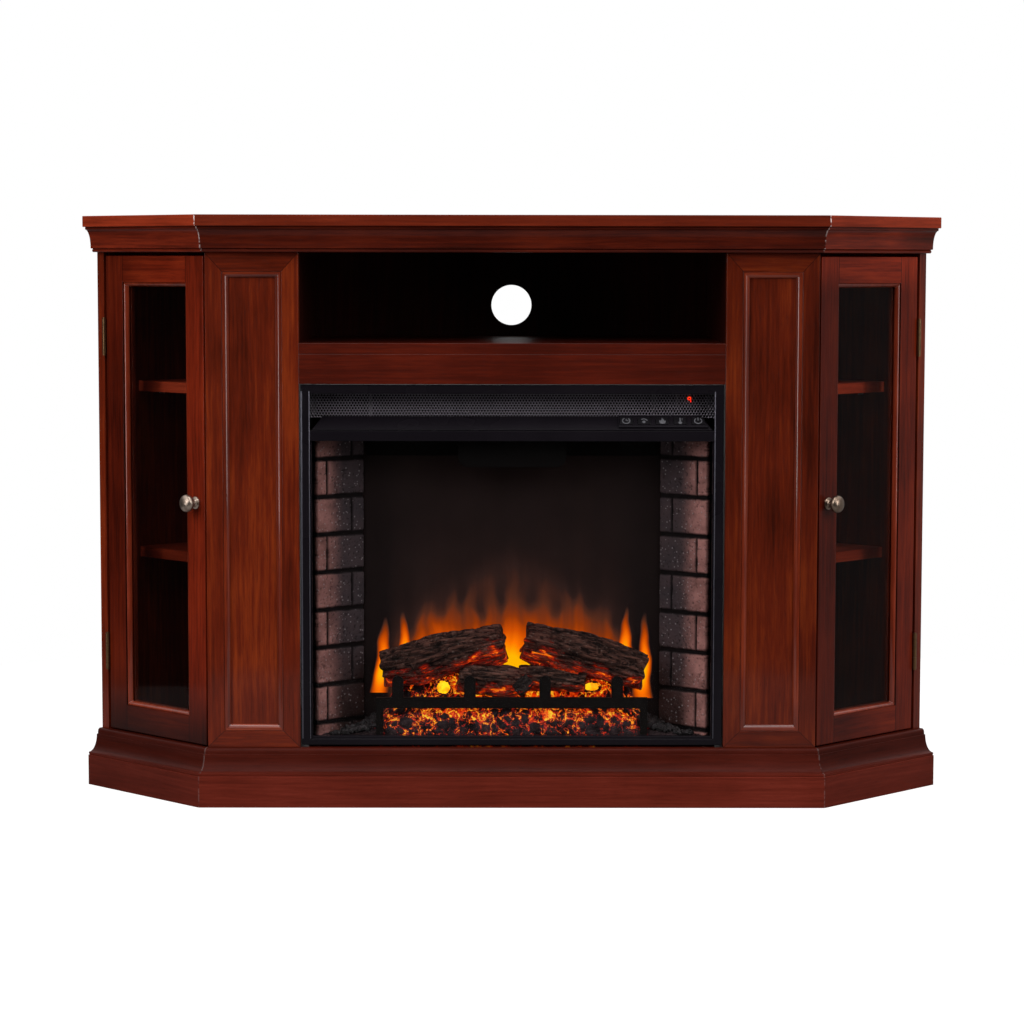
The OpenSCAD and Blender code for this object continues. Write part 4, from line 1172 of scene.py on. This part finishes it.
@dataclass
class ControlPanel:
    """Pictograms on the keys and the lit digit over them; sizes in millimetres."""

    mid_x: float = 206.7
    pitch: float = 24.8
    key_y: float = 16.53
    slope: float = math.radians(40.815)
    foot_z: float = 520.0
    key_top: float = 3.5
    film: float = 0.12
    # How much wider and taller the marks are than drawn
    mark_scale: Pair = (1.15, 1.22)
    # Lit bars of the digit, their width and their thickness, and the digit's place
    bars: tuple[Span, ...] = ((-1.5, 3.4, 1.5, 3.4), (1.9, 3.0, 1.9, 0.4), (1.4, -0.1, -1.4, -0.1),
                              (-1.9, 3.0, -1.9, 0.4), (1.9, -0.6, 1.9, -3.4))
    bar_w: float = 1.1
    bar_t: float = 0.4
    digit_shift: float = 2.7
    digit_back: float = 22.2
    digit_z: float = 562.0

    def build(self) -> None:
        """Build the marks of each key, then the digit."""
        for place, icon in enumerate(Icon):
            self.mark(icon, self.mid_x + (place - 2) * self.pitch)
        self.digit()

    def mark(self, icon: Icon, across: float) -> None:
        """Build one pictogram, which rides on its key.

        Args:
            icon: the key's pictogram.
            across: place of the key's middle, in millimetres.
        """
        piece = Workpiece(f"{icon.value}_mark")
        relief = Relief(piece.mesh)
        for stroke, *numbers in PICTOGRAMS[icon]:
            stroke(relief, *numbers)
        relief.raise_up(self.film)
        wide, tall = self.mark_scale
        turn = Matrix.Translation(at_insert(across, 0, self.foot_z)) @ Matrix.Rotation(
            self.slope, 4, "X") @ Matrix.Translation((0, self.key_y * MM, self.key_top * MM))
        piece.move(lambda point: turn @ (Vector((point.x * wide, point.y * tall, point.z)) * MM))
        piece.finish(f"{icon.value}_button", "key_plastic", SatinPaint("key mark", (80, 79, 83), 0.5),
                     flat=True)

    def digit(self) -> None:
        """Build the lit seven-bar digit in front of the mesh."""
        low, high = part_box("display_module")
        middle = at_insert((low.x + high.x) / 2 / MM + self.digit_shift, self.digit_back, self.digit_z)
        piece = Workpiece("display_digit")
        relief = Relief(piece.mesh)
        for bar in self.bars:
            relief.bar(*bar, self.bar_w)
        relief.raise_up(self.bar_t)
        turn = Matrix.Translation(middle) @ Matrix.Rotation(math.pi / 2, 4, "X")
        piece.move(lambda point: turn @ (point * MM))
        piece.finish("cabinet", "display_plastic", Lamp("display light", (255, 60, 24), (255, 20, 4), 1.6),
                     flat=True)


@dataclass
class FireSurround:
    """Sheet metal, glass and bricks round the fire; sizes in millimetres."""

    brick_length: float = 78.9
    brick_angle: float = math.radians(39.34)
    front: Pair = (271.0, 28.0)
    heights: Pair = (81.5, 505.5)
    # Height of a course and of the first joint over the floor, at the left and the right
    courses: Pair = (52.7, 54.3)
    first_joints: Pair = (27.7, 17.7)
    # Upright joints of even and odd courses as shares of the length, and their width's share of the mortar
    joints: Pair = (0.75, 0.21)
    joint_share: float = 0.4
    mortar: float = 6.0
    relief: float = 2.5
    pit_depth: float = 1.1
    back: float = 8.0
    step: float = 1.25
    # Pale strips that stand for painted highlights on the trim's edges: insets from the trim's sides, widths,
    # depth, height left free, eased edge, and how far behind the trim's face their middle is
    strip_inset: float = 11.9
    edge_inset: float = 1.2
    strip_w: float = 1.3
    edge_w: float = 1.9
    strip_d: float = 0.9
    strip_free: float = 18.0
    strip_ease: float = 0.25
    strip_y: float = 0.1
    # Widths of the eased edges, in metres
    trim_edge: float = 0.0007
    key_edge: float = 0.0005
    hood_edge: float = 0.0008

    def build(self) -> None:
        """Dress the metal and the glass, then build the two brick panels and the pale strips that stand for
        highlights.
        """
        dress(["trim_frame", "air_deflector", "control_strip"],
              SatinPaint("trim black", (18, 15, 19), 0.28, shine=0.08), self.trim_edge, 3)
        dress([f"{icon.value}_key" for icon in Icon],
              SatinPaint("key plastic", (15, 13, 16), 0.45, shine=0.08), self.key_edge)
        dress(["display_module"], SatinPaint("display plastic", (16, 8, 8), 0.4))
        dress(["front_glass"], TintedGlass("fire glass", (6, 4, 4), 0.06))
        dress(["firebox_casing", "heater_housing"], SatinPaint("casing black", (13, 12, 13), 0.6, shine=0.06))
        dress(["firebox_hood"], SatinPaint("hood black", (7, 5, 5), 0.6, dust=0.05, shine=0.06),
              self.hood_edge)
        self.brick_panel("left", -1)
        self.brick_panel("right", 1)
        self.highlight_strips()

    def highlight_strips(self) -> None:
        """Build thin pale strips that stand for painted highlights along the trim frame's inner edges and its
        left outer edge.
        """
        low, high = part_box("trim_frame")
        inset = self.strip_inset * MM
        piece = Workpiece("edge_highlight_strips")
        for across, wide in ((low.x + inset, self.strip_w), (high.x - inset, self.strip_w),
                             (low.x + self.edge_inset * MM, self.edge_w)):
            size = Matrix.Diagonal((wide * MM, self.strip_d * MM, high.z - low.z - self.strip_free * MM, 1.0))
            middle = Vector((across, low.y + self.strip_y * MM, (low.z + high.z) / 2))
            bmesh.ops.create_cube(piece.mesh, size=1.0, matrix=Matrix.Translation(middle) @ size)
        bmesh.ops.bevel(piece.mesh, geom=piece.mesh.edges[:], offset=self.strip_ease * MM, affect="EDGES",
                        segments=2, profile=0.5, material=-1)
        # Painted highlight: pale metal strips where the trim's edges catch the light.
        piece.finish("cabinet", "trim_black",
                     WornMetal("edge highlight strip", (104, 102, 112), (46, 45, 52), 0.4))

    def brick_height(self, along: float, up: float, course: float) -> Pair:
        """Shape the panel's face at one place.

        Args:
            along: distance from the panel's front edge.
            up: height above the foot of the lowest course, which the floor cuts.
            course: height of a course.

        Returns:
            How far the face stands out there, and how much of it is brick, 0 to 1.
        """
        row = int(up // course)
        in_row = up - row * course
        joint = self.brick_length * self.joints[row % 2]
        half = self.mortar / 2
        wobble = noise.noise(Vector((along * 0.09, up * 0.09, 3.0))) * 0.9
        edge = wobble + min(in_row - half, course - half - in_row,
                            abs(along - joint) - half * self.joint_share)
        brick = smooth(edge, -0.6, 1.8)
        spot = Vector((along * 0.16, up * 0.16, row * 9.0))
        grit = noise.noise(spot) * 0.5 + noise.noise(spot * 3.1) * 0.35
        pit = smooth(noise.noise(spot * 2.2 + Vector((40, 0, 0))), 0.33, 0.5)
        raised = self.relief + grit - pit * self.pit_depth
        return brick * raised + (1 - brick) * grit * 0.5, brick * (1 - pit * 0.5)

    def brick_panel(self, side: str, way: int) -> None:
        """Build one splayed panel as a closed slab with moulded bricks.

        Args:
            side: left or right, for the names.
            way: -1 for the left, 1 for the right.
        """
        low, high = self.heights
        columns = int(self.brick_length / self.step)
        rows = int((high - low) / self.step)
        course = self.courses[way > 0]
        below = course - self.first_joints[way > 0]
        piece = Workpiece(f"brick_lining_{side}")
        mesh = piece.mesh
        bmesh.ops.create_grid(mesh, x_segments=columns, y_segments=rows, size=0.5)
        brick_layer = mesh.verts.layers.float.new("brick")
        for vertex in mesh.verts:
            along = (vertex.co.x + 0.5) * self.brick_length
            up = (vertex.co.y + 0.5) * (high - low)
            height, vertex[brick_layer] = self.brick_height(along, up + below, course)
            vertex.co = Vector((along, -height, low + up))
        piece.skirt(1, self.back)
        corner = at_insert(way * self.front[0], self.front[1], 0)
        ahead = Vector((-way * math.cos(self.brick_angle), math.sin(self.brick_angle), 0))
        inward = Vector((-way * math.sin(self.brick_angle), -math.cos(self.brick_angle), 0))
        piece.move(lambda point: corner + ahead * point.x * MM - inward * point.y * MM
                   + Vector((0, 0, point.z * MM)))
        piece.close_up(1e-7)
        piece.finish("cabinet", "brick_moulding", FireBrick("fire brick"), [f"brick_panel_{side}"])


@dataclass
class Log:
    """One moulded log between two points, in millimetres; its caps are a share of its length."""

    start: Point
    end: Point
    radius: float
    seed: float
    around: int = 84
    along: int = 96
    cap: float = 0.07
    layer_names: tuple[str, ...] = ("crevice", "glow", "length", "around")

    def shape(self, mesh: bmesh.types.BMesh) -> None:
        """Roll a sheet into the log and carve its bark.

        Args:
            mesh: the mesh that it joins, which may hold another log.
        """
        layers = mesh.verts.layers.float
        for name in self.layer_names:
            if name not in layers:
                layers.new(name)
        crevice, glow, along, around = (layers[name] for name in self.layer_names)
        made = bmesh.ops.create_grid(mesh, x_segments=self.around, y_segments=self.along, size=0.5)
        first, last = Vector(self.start), Vector(self.end)
        line = last - first
        length = line.length
        ahead = line.normalized()
        aside = Vector((0, 0, 1)).cross(ahead).normalized()
        above = ahead.cross(aside)
        for vertex in made["verts"]:
            turn = (vertex.co.x + 0.5) * math.tau
            run = vertex.co.y + 0.5
            inner = min(1.0, max(0.0, (run - self.cap) / (1 - 2 * self.cap)))
            rim = min(1.0, run / self.cap, (1 - run) / self.cap)
            bark, crack = self.bark(turn, inner * length)
            outward = self.radius * bark * rim ** 0.55
            ragged = noise.noise(Vector((math.cos(turn) * 2.2, math.sin(turn) * 2.2, self.seed * 5 + inner)))
            slip = ragged * 0.30 * self.radius * abs(2 * inner - 1) ** 4 * rim
            spot = (first + ahead * (inner * length + slip) + aside * math.cos(turn) * outward * 0.94
                    + above * math.sin(turn) * outward)
            vertex.co = at_insert(*spot)
            vertex[crevice] = crack * rim
            vertex[glow] = self.heat(turn, inner, crack, rim)
            vertex[along] = (inner * length - (1 - rim) * 6.0) * MM + self.seed
            vertex[around] = turn * self.radius * MM

    def bark(self, turn: float, run: float) -> tuple[float, float]:
        """Shape the bark at one place.

        Args:
            turn: angle round the log, in radians.
            run: distance along it.

        Returns:
            The factor for the radius, and the depth of the crack, 0 to 1.
        """
        ring = Vector((math.cos(turn), math.sin(turn), 0))
        low = noise.noise(ring * 1.3 + Vector((self.seed * 7, 0, run * 0.018)))
        twist = ring * 4.2 + Vector((0, self.seed * 11, run * 0.022 + low))
        plate = noise.noise(twist)
        split = noise.noise(ring * 9.0 + Vector((self.seed * 3, 5, run * 0.05)))
        crack = ridge(plate, 0.10)
        fine = ridge(split, 0.12)
        rough = noise.fractal(ring * 14 + Vector((0, 0, run * 0.3)), 0.8, 2.0, 3)
        ends = abs(2 * run / max(1.0, (Vector(self.end) - Vector(self.start)).length) - 1)
        size = 1.04 - 0.13 * ends ** 4 + low * 0.22 + abs(plate) * 0.16 - crack * 0.11 - fine * 0.05
        return size + rough * 0.02, min(1.0, crack + fine * 0.5)

    def heat(self, turn: float, inner: float, crack: float, rim: float) -> float:
        """Give how much a place glows: its cracks glow from within, and the underside and the inner end carry
        painted light from the embers.

        Args:
            turn: angle round the log, in radians.
            inner: share of the way along it.
            crack: depth of the crack, 0 to 1.
            rim: 1 on the bark, falling to 0 in the middle of each cap.

        Returns:
            The glow, 0 to 1.
        """
        under = smooth(-math.sin(turn), -0.15, 0.75)
        near = smooth(inner, 0.55, 0.95)
        patch = smooth(noise.noise(Vector((math.cos(turn) * 2.5, math.sin(turn) * 2.5 + self.seed,
                                           inner * 7))), -0.05, 0.35)
        lit = under * 0.75 + near * 0.55 * smooth(-math.sin(turn), -0.8, 0.2)
        # The crack term is the resin's own glow; the underside and inner-end terms are painted ember light.
        heat = crack * lit * patch * 0.8 + under * (0.20 + patch * 0.20) + near * 0.10
        return min(1.0, heat) * (0.4 + 0.6 * rim)


@dataclass
class FireBed:
    """Logs, ember bed, grate and loose charcoal; sizes in millimetres."""

    floor_z: float = 81.5
    front: float = 18.6
    behind: float = 81.4
    half_w: float = 182.0
    # The heap's top: its height at the ends, the mound's height in front and what it gains at the back
    end_h: float = 9.5
    mound_h: Pair = (34.0, 18.0)
    # The bank under the logs: where it rises, its height in the middle and what it gains beside it, where
    # that begins and ends, and where the bank runs out at the ends
    bank_y: Pair = (44.0, 74.0)
    bank_h: Pair = (8.0, 22.0)
    bank_gain: Pair = (20.0, 70.0)
    bank_ends: Pair = (186.0, 158.0)
    # Lumps: points of the mesh across and over it, sizes of the big and small ones, and how far they stand
    # out among the embers and at the cold ends
    heap_mesh: tuple[int, int] = (430, 74)
    lump_spans: Pair = (15.0, 6.5)
    lump_rise: Pair = (3.2, 1.6)
    # Heights between which the glow grows towards the grate's bar
    glow_z: Pair = (104.0, 122.0)
    # The tray between the bricks: half its width in front, where it starts to narrow, and how fast
    tray_half: float = 265.0
    narrow_from: float = 28.0
    narrowing: float = 61 / 50
    # The heap's front bank: its share of the mesh, its toe's distance from the front, and how far it leans
    climb: float = 0.42
    toe: float = 1.5
    lean: float = 9.0
    # Openings for the lamps: middle across and up, half-width and half-height; their rim's radius and tube,
    # its depth and how far it reaches past the opening; depth of the lens behind the face, and half its own
    lamp_eyes: tuple[Span, ...] = ((-95.8, 156.3, 9.6, 9.8), (112.0, 157.5, 11.2, 5.8))
    eye_ring: float = 10.5
    eye_tube: float = 1.7
    eye_back: float = 48.0
    eye_reach: float = 1.5
    lens_back: float = 52.0
    lens_depth: float = 3.2
    # The split piece of bark: middle, size and turn
    chunk_at: Point = (16.0, 30.5, 162.5)
    chunk_size: Point = (27.0, 11.0, 21.0)
    chunk_turn: float = math.radians(-38)
    # Loose charcoal: lumps at each end, the range of their sizes, how far out they begin, how far back they
    # lie, the gap to the bricks, and how far they may reach before the heap; the grate's eased edge
    lumps: int = 150
    lump_sizes: Pair = (2.4, 6.0)
    lumps_from: float = 190.0
    lumps_back: float = 70.0
    brick_gap: float = 7.0
    lumps_ahead: float = 2.4
    grate_edge: float = 0.0012

    def build(self) -> None:
        """Build the bed, the logs on it and the charcoal beside it."""
        self.embers()
        bark = CharredBark("log bark")
        self.logs("bark_log_left", "log_left", bark, Log((-181, 55, 181.5), (-11, 51, 219.5), 27.5, 1))
        self.logs("bark_log_right", "log_right", bark, Log((185, 55, 179.5), (19, 51, 221.5), 27.5, 2))
        self.logs("small_log_pair", "small_logs",
                  CharredBark("small log bark", (104, 70, 60), (140, 50, 28), 0.9),
                  Log((-74, 44, 172), (9.5, 49, 164), 20.5, 3, 72, 64, 0.10),
                  Log((103, 44, 166.5), (11.5, 49, 171.5), 16.5, 4, 72, 64, 0.10))
        self.chunk()
        self.eyes()
        self.coal()
        dress(["log_grate"], SatinPaint("grate iron", (13, 10, 9), 0.7, 260.0, dust=0.05, shine=0.06),
              self.grate_edge, 3)

    def logs(self, name: str, node: str, bark: CharredBark, *logs: Log) -> None:
        """Build one or more logs as one piece.

        Args:
            name: the piece's name.
            node: the node that it replaces.
            bark: its finish.
            *logs: the logs in it.
        """
        piece = Workpiece(name)
        for log in logs:
            log.shape(piece.mesh)
        piece.close_up()
        piece.finish("cabinet", "log_resin", bark, [node])

    def tray(self, back: float) -> float:
        """Give half the tray's width at a distance behind the insert's face."""
        return self.tray_half - max(0.0, back - self.narrow_from) * self.narrowing

    def top_z(self, across: float, back: float) -> float:
        """Shape the bed's top: a mound with a bank that rises under the logs.

        Args:
            across: distance from the middle, to either side.
            back: distance behind the insert's face.

        Returns:
            The height of the top above the room's floor.
        """
        mound = 1 / (1 + abs(across / self.half_w) ** 8)
        part = (back - self.front) / (self.behind - self.front)
        low, gain = self.bank_h
        bank = smooth(back, *self.bank_y) * (smooth(abs(across), *self.bank_gain) * gain + low)
        bank *= smooth(abs(across), *self.bank_ends)
        front, more = self.mound_h
        return self.floor_z + self.end_h + mound * (front + more * part ** 1.5) + bank

    def embers(self) -> None:
        """Build the bed as a closed heap with lumps and glowing veins between them."""
        piece = Workpiece("ember_heap")
        mesh = piece.mesh
        across_points, over_points = self.heap_mesh
        bmesh.ops.create_grid(mesh, x_segments=across_points, y_segments=over_points, size=0.5)
        vein = mesh.verts.layers.float.new("vein")
        climb, bank = self.climb, self.front + self.toe + self.lean
        for vertex in mesh.verts:
            part = vertex.co.y + 0.5
            if part < climb:
                back = self.front + self.toe + self.lean * (part / climb) ** 1.8
                share = 1 - (1 - part / climb) ** 1.25
            else:
                back = bank + (self.behind - bank) * (part - climb) / (1 - climb)
                share = 1.0
            across = vertex.co.x * 2 * self.tray(back)
            top = self.top_z(across, back)
            spot = Vector((across, back, self.floor_z + (top - self.floor_z) * share))
            lump, glow = self.lump(spot)
            inside = smooth(min(part, 1 - part), 0.0, 0.06)
            live = 1 / (1 + abs(across / (self.half_w + 2)) ** 24)
            rise = lump * self.lump_rise[live <= 0.5] * inside
            spot += Vector((0, -0.55 * rise if part < climb + 0.1 else 0,
                            rise * (0.5 if part < climb else 1)))
            spot.y = min(self.behind, max(self.front, spot.y))
            vertex.co = at_insert(*spot)
            vertex[vein] = glow * live
        piece.skirt(2, (self.floor_z + 0.02) * MM)
        piece.close_up(1e-7)
        piece.finish("cabinet", "ember_resin", GlowingEmber("ember resin"), ["ember_bed"])

    def lump(self, spot: Vector) -> tuple[float, float]:
        """Shape the lumps of the heap at one place.

        Args:
            spot: the place, in millimetres.

        Returns:
            How far a lump stands out, and how strongly the gap beside it glows, 0 to 1.
        """
        warp = Vector((noise.noise(spot * 0.05), noise.noise(spot * 0.05 + Vector((9, 0, 0))), 0)) * 7
        near, small = (noise.voronoi((spot + warp) / size)[0] for size in self.lump_spans)
        gap, chip = near[1] - near[0], small[1] - small[0]
        height = smooth(gap, 0.0, 0.45) + 0.35 * smooth(chip, 0, 0.4) + noise.noise(spot * 0.35) * 0.3
        patch = smooth(noise.noise(spot * 0.026 + Vector((3.3, 0, 0))) + 0.25, 0.0, 0.45)
        under_bar = smooth(spot.z, *self.glow_z)
        glow = ridge(gap, 0.15) * (0.55 + 0.45 * patch) + ridge(chip, 0.12) * patch * 0.5
        glow *= 0.42 + 0.75 * under_bar
        return height, min(1.0, glow + patch * under_bar * 0.22)

    def chunk(self) -> None:
        """Build the split piece of bark that stands between the small logs."""
        piece = Workpiece("bark_chunk")
        bmesh.ops.create_cube(piece.mesh, size=1.0)
        bmesh.ops.subdivide_edges(piece.mesh, edges=piece.mesh.edges, cuts=14, use_grid_fill=True)
        crevice = piece.mesh.verts.layers.float.new("crevice")
        glow = piece.mesh.verts.layers.float.new("glow")
        turn = Matrix.Rotation(self.chunk_turn, 3, "Y")
        wide, deep, high = self.chunk_size
        for vertex in piece.mesh.verts:
            point = vertex.co.copy()
            rib = noise.noise(Vector((point.x * 1.4, point.y * 5, point.z * 7)))
            vertex[crevice] = ridge(rib, 0.09)
            vertex[glow] = vertex[crevice] * smooth(-point.z, -0.1, 0.4) * 0.5
            rough = 1 + rib * 0.16 - 0.2 * point.length_squared
            shaped = Vector((point.x * wide, point.y * deep, point.z * high)) * rough
            vertex.co = at_insert(*(Vector(self.chunk_at) + turn @ shaped))
        piece.close_up()
        piece.finish("cabinet", "log_resin", CharredBark("chunk bark", (62, 50, 47), (90, 44, 30), 0.9))

    def eyes(self) -> None:
        """Build the two openings under the logs through which the lamps show."""
        rims = Workpiece("lamp_eye_rims")
        vein = rims.mesh.verts.layers.float.new("vein")
        lens = Workpiece("lamp_eyes")
        radius = self.eye_ring
        for index, (across, up, wide, high) in enumerate(self.lamp_eyes):
            made = bmesh.ops.create_circle(rims.mesh, segments=16, radius=self.eye_tube,
                                           matrix=Matrix.Translation((radius, 0, 0)))["verts"]
            lines = list({line for vertex in made for line in vertex.link_edges})
            bmesh.ops.rotate(rims.mesh, verts=made, cent=(radius, 0, 0),
                             matrix=Matrix.Rotation(math.pi / 2, 3, "X"))
            bmesh.ops.spin(rims.mesh, geom=made + lines, cent=(0, 0, 0), axis=(0, 0, 1),
                           angle=math.tau, steps=56, use_merge=True)
            for vertex in (point for point in rims.mesh.verts if not point.tag):
                vertex.tag = True
                rough = noise.noise(vertex.co * 0.4 + Vector((index * 20, 0, 0)))
                vertex[vein] = 0.35 + rough * 0.8
                co = vertex.co * (1 + rough * 0.22)
                vertex.co = at_insert(across + co.x * (wide + self.eye_reach) / radius,
                                      self.eye_back - co.z, up + co.y * (high + self.eye_reach) / radius)
            size = Matrix.Diagonal((wide * MM, self.lens_depth * MM, high * MM, 1))
            bmesh.ops.create_uvsphere(lens.mesh, u_segments=32, v_segments=16, radius=1.0,
                                      matrix=Matrix.Translation(at_insert(across, self.lens_back, up)) @ size)
        rims.close_up()
        rims.finish("cabinet", "ember_resin", GlowingEmber("eye rim"))
        lens.finish("cabinet", "ember_resin", Lamp("lamp lens", (255, 206, 20), (250, 150, 4), 1.1))

    def coal(self) -> None:
        """Scatter the loose charcoal at both ends of the bed."""
        draw = random.Random(11)
        piece = Workpiece("charcoal_lumps")
        for way in (-1, 1):
            for index in range(self.lumps):
                size = draw.uniform(*self.lump_sizes)
                back = draw.uniform(self.front + size, self.lumps_back)
                across = way * draw.uniform(self.lumps_from, self.tray(back) - self.brick_gap - size)
                up = self.top_z(across, back) + size * draw.uniform(0.1, 0.6)
                stretch = Matrix.Diagonal((draw.uniform(0.8, 1.35), draw.uniform(0.7, 1.0),
                                           draw.uniform(0.6, 0.95), 1.0))
                spin = Matrix.Rotation(draw.uniform(0, math.tau), 4, "Y") @ Matrix.Rotation(
                    draw.uniform(0, math.tau), 4, "Z")
                for vertex in bmesh.ops.create_icosphere(piece.mesh, subdivisions=2, radius=1.0)["verts"]:
                    facet = noise.noise(vertex.co * 1.3 + Vector((index * 7, way * 5, 0)))
                    grain = noise.noise(vertex.co * 4 + Vector((index * 3, 0, 0)))
                    shaped = (spin @ stretch @ (vertex.co * (1 + facet * 0.55 + grain * 0.12))) * size
                    spot = Vector((across, back, up)) + shaped
                    spot.y = min(self.behind, max(self.front - self.lumps_ahead, spot.y))
                    vertex.co = at_insert(*spot)
        piece.finish("cabinet", "charcoal_resin", Coal("charcoal"), ["charcoal"], flat=True)


@dataclass
class Works:
    """What makes the flames and the heat, behind the screen."""

    tongues: tuple[Tongue, ...] = (
        Tongue((-186, 146), (-178, 252), 15, 1.4), Tongue((-146, 190), (-152, 260), 12, 1.1),
        Tongue((3, 172), (3, 262), 30, 0.95), Tongue((160, 190), (162, 268), 11, 1.1),
        Tongue((188, 139), (188, 258), 14, 1.4))
    gaps: tuple[Point, ...] = (
        (-139, 219, 7), (-99, 243, 8), (-71, 259, 6), (-43, 241, 7), (-14, 256, 6), (27, 254, 8),
        (58, 243, 8), (87, 266, 6), (112, 252, 7), (149, 221, 8))

    def build(self) -> None:
        """Dress the screen and the machinery."""
        dress(["flame_screen"], FlameFilm("flame screen", self.tongues, self.gaps))
        dress(["flame_rotor"], WornMetal("rotor foil", (206, 206, 208), (150, 150, 152), 0.22, 0.2))
        dress(["rotor_motor"], WornMetal("motor steel", (150, 152, 154), (90, 90, 92), 0.4))
        dress(["light_strip"], SatinPaint("light board", (226, 220, 196), 0.4))
        dress(["heating_element"], SatinPaint("element ceramic", (24, 22, 21), 0.8, shine=0.06))
        # Painted shade: the blower wheel and its motor are painted near-black so that they stay dark inside
        # the duct.
        dress(["blower_wheel", "blower_motor"], SatinPaint("blower shaded black", (13, 12, 13), 0.6, shine=0.06))
        dress(["cord_gland"], SatinPaint("gland plastic", (20, 20, 21), 0.5))


# ---- studio ----

@dataclass
class Studio:
    """Floor, lights, world and camera."""

    eye: Point = (-0.0163646, -4.0776544, 0.7553229)
    # Focal length and width of the photograph in pixels, and the sensor's width in millimetres
    focal: float = 2844.829
    photo_w: int = 1024
    sensor_w: float = 36.0
    yaw: float = 0.004148
    tilt: float = 0.08872
    roll: float = 0.00156
    floor_radius: float = 1.5
    # Soft lamps: name, place, target, width and height, and power
    lamps: tuple[tuple[str, Point, Point, Pair, float], ...] = (
        ("key", (-2.1, -3.3, 2.6), (0, 0, 0.4), (1.6, 1.6), 38),
        ("fill", (2.7, -2.6, 1.9), (0.2, 0, 0.45), (1.8, 1.8), 32),
        ("top", (0, -0.9, 3.2), (0, 0, 0.6), (1.6, 1.6), 24),
        ("left strip", (-2.6, -1.9, 1.2), (0, -0.2, 0.7), (0.7, 2.2), 32),
        ("right strip", (2.6, -2.1, 1.2), (0, -0.2, 0.7), (0.7, 2.2), 22))

    def build(self) -> None:
        """Set up the stage and the view."""
        self.floor()
        self.world()
        for lamp in self.lamps:
            self.lamp(*lamp)
        self.camera()
        bpy.context.scene.view_settings.view_transform = "Standard"

    def floor(self) -> None:
        """Lay the floor."""
        mesh = bmesh.new()
        bmesh.ops.create_circle(mesh, cap_ends=True, segments=96, radius=self.floor_radius)
        data = bpy.data.meshes.new("studio_floor")
        mesh.to_mesh(data)
        mesh.free()
        data.materials.append(material_of(StageFloor("studio floor")))
        place_object("studio_floor", data)

    def world(self) -> None:
        """Make a white backdrop, a dim front for gloss and a plain level of ambient light."""
        world = bpy.data.worlds.new("studio")
        bpy.context.scene.world = world
        graph = Graph(world)
        x, y, z = graph.split(graph.node("TexCoord", {}, {}, "Generated"))
        seen = graph.ray("Camera").at_least(graph.ray("Transmission"))
        panel = x.ease(0.80, 0.97) * 0.30 * abs(z).ease(0.25, 0.6, 1.0, 0.0)
        behind = y.ease(0.25, 0.6) * x.ease(-0.2, 0.6, 0.08, 0.4)
        around = z.ease(0.25, 0.7) * 1.2 + behind + panel + 0.01
        mirrored = graph.ray("Glossy") * y.ease(0.75, 0.95) * 0.5
        level = seen.at_least((1 - seen) * around.at_least(mirrored))
        graph.close(graph.node("Background", {}, {"Color": WHITE, "Strength": level}), "OutputWorld")

    def lamp(self, name: str, place: Point, target: Point, size: Pair, power: float) -> None:
        """Hang one soft lamp.

        Args:
            name: its name.
            place: where it hangs.
            target: what it is aimed at.
            size: its width and height.
            power: its power in watts.
        """
        light = bpy.data.lights.new(name, "AREA")
        light.shape = "RECTANGLE"
        light.size, light.size_y = size
        light.energy = power
        thing = place_object(name, light)
        thing.location = place
        thing.rotation_euler = (Vector(target) - Vector(place)).to_track_quat("-Z", "Y").to_euler()

    def camera(self) -> None:
        """Place the camera at the photograph's viewpoint."""
        data = bpy.data.cameras.new("camera")
        data.sensor_fit = "HORIZONTAL"
        data.sensor_width = self.sensor_w
        data.lens = self.focal / self.photo_w * self.sensor_w
        thing = place_object("camera", data)
        turn = Matrix.Rotation(-self.yaw, 4, "Z") @ Matrix.Rotation(
            math.pi / 2 - self.tilt, 4, "X") @ Matrix.Rotation(self.roll, 4, "Z")
        thing.matrix_world = Matrix.Translation(self.eye) @ turn
        bpy.context.scene.camera = thing


def main() -> None:
    """Build the pieces in order and set the stage."""
    logging.basicConfig(level=logging.INFO, format="%(message)s")
    # Each door carries its own painted light and shade across and up, and a knob tone that is lighter on the
    # left door as painted light.
    doors = (GlazedDoor("left", 10, (-0.575, -0.47, 0.46, 0.95), (0.07, 0.20, 0.15, 1.0), (172, 154, 140)),
             GlazedDoor("right", 11, (0.44, 0.56, 0.38, 0.62), (0.70, 0.76, 1.0, 2.6), (132, 114, 100)))
    for part in (Cabinet(), *doors, AirOutlet(), ControlPanel(), FireSurround(), FireBed(), Works(),
                 Studio()):
        part.build()
        LOG.info("built: %s", type(part).__name__)


if __name__ == "__main__":
    main()
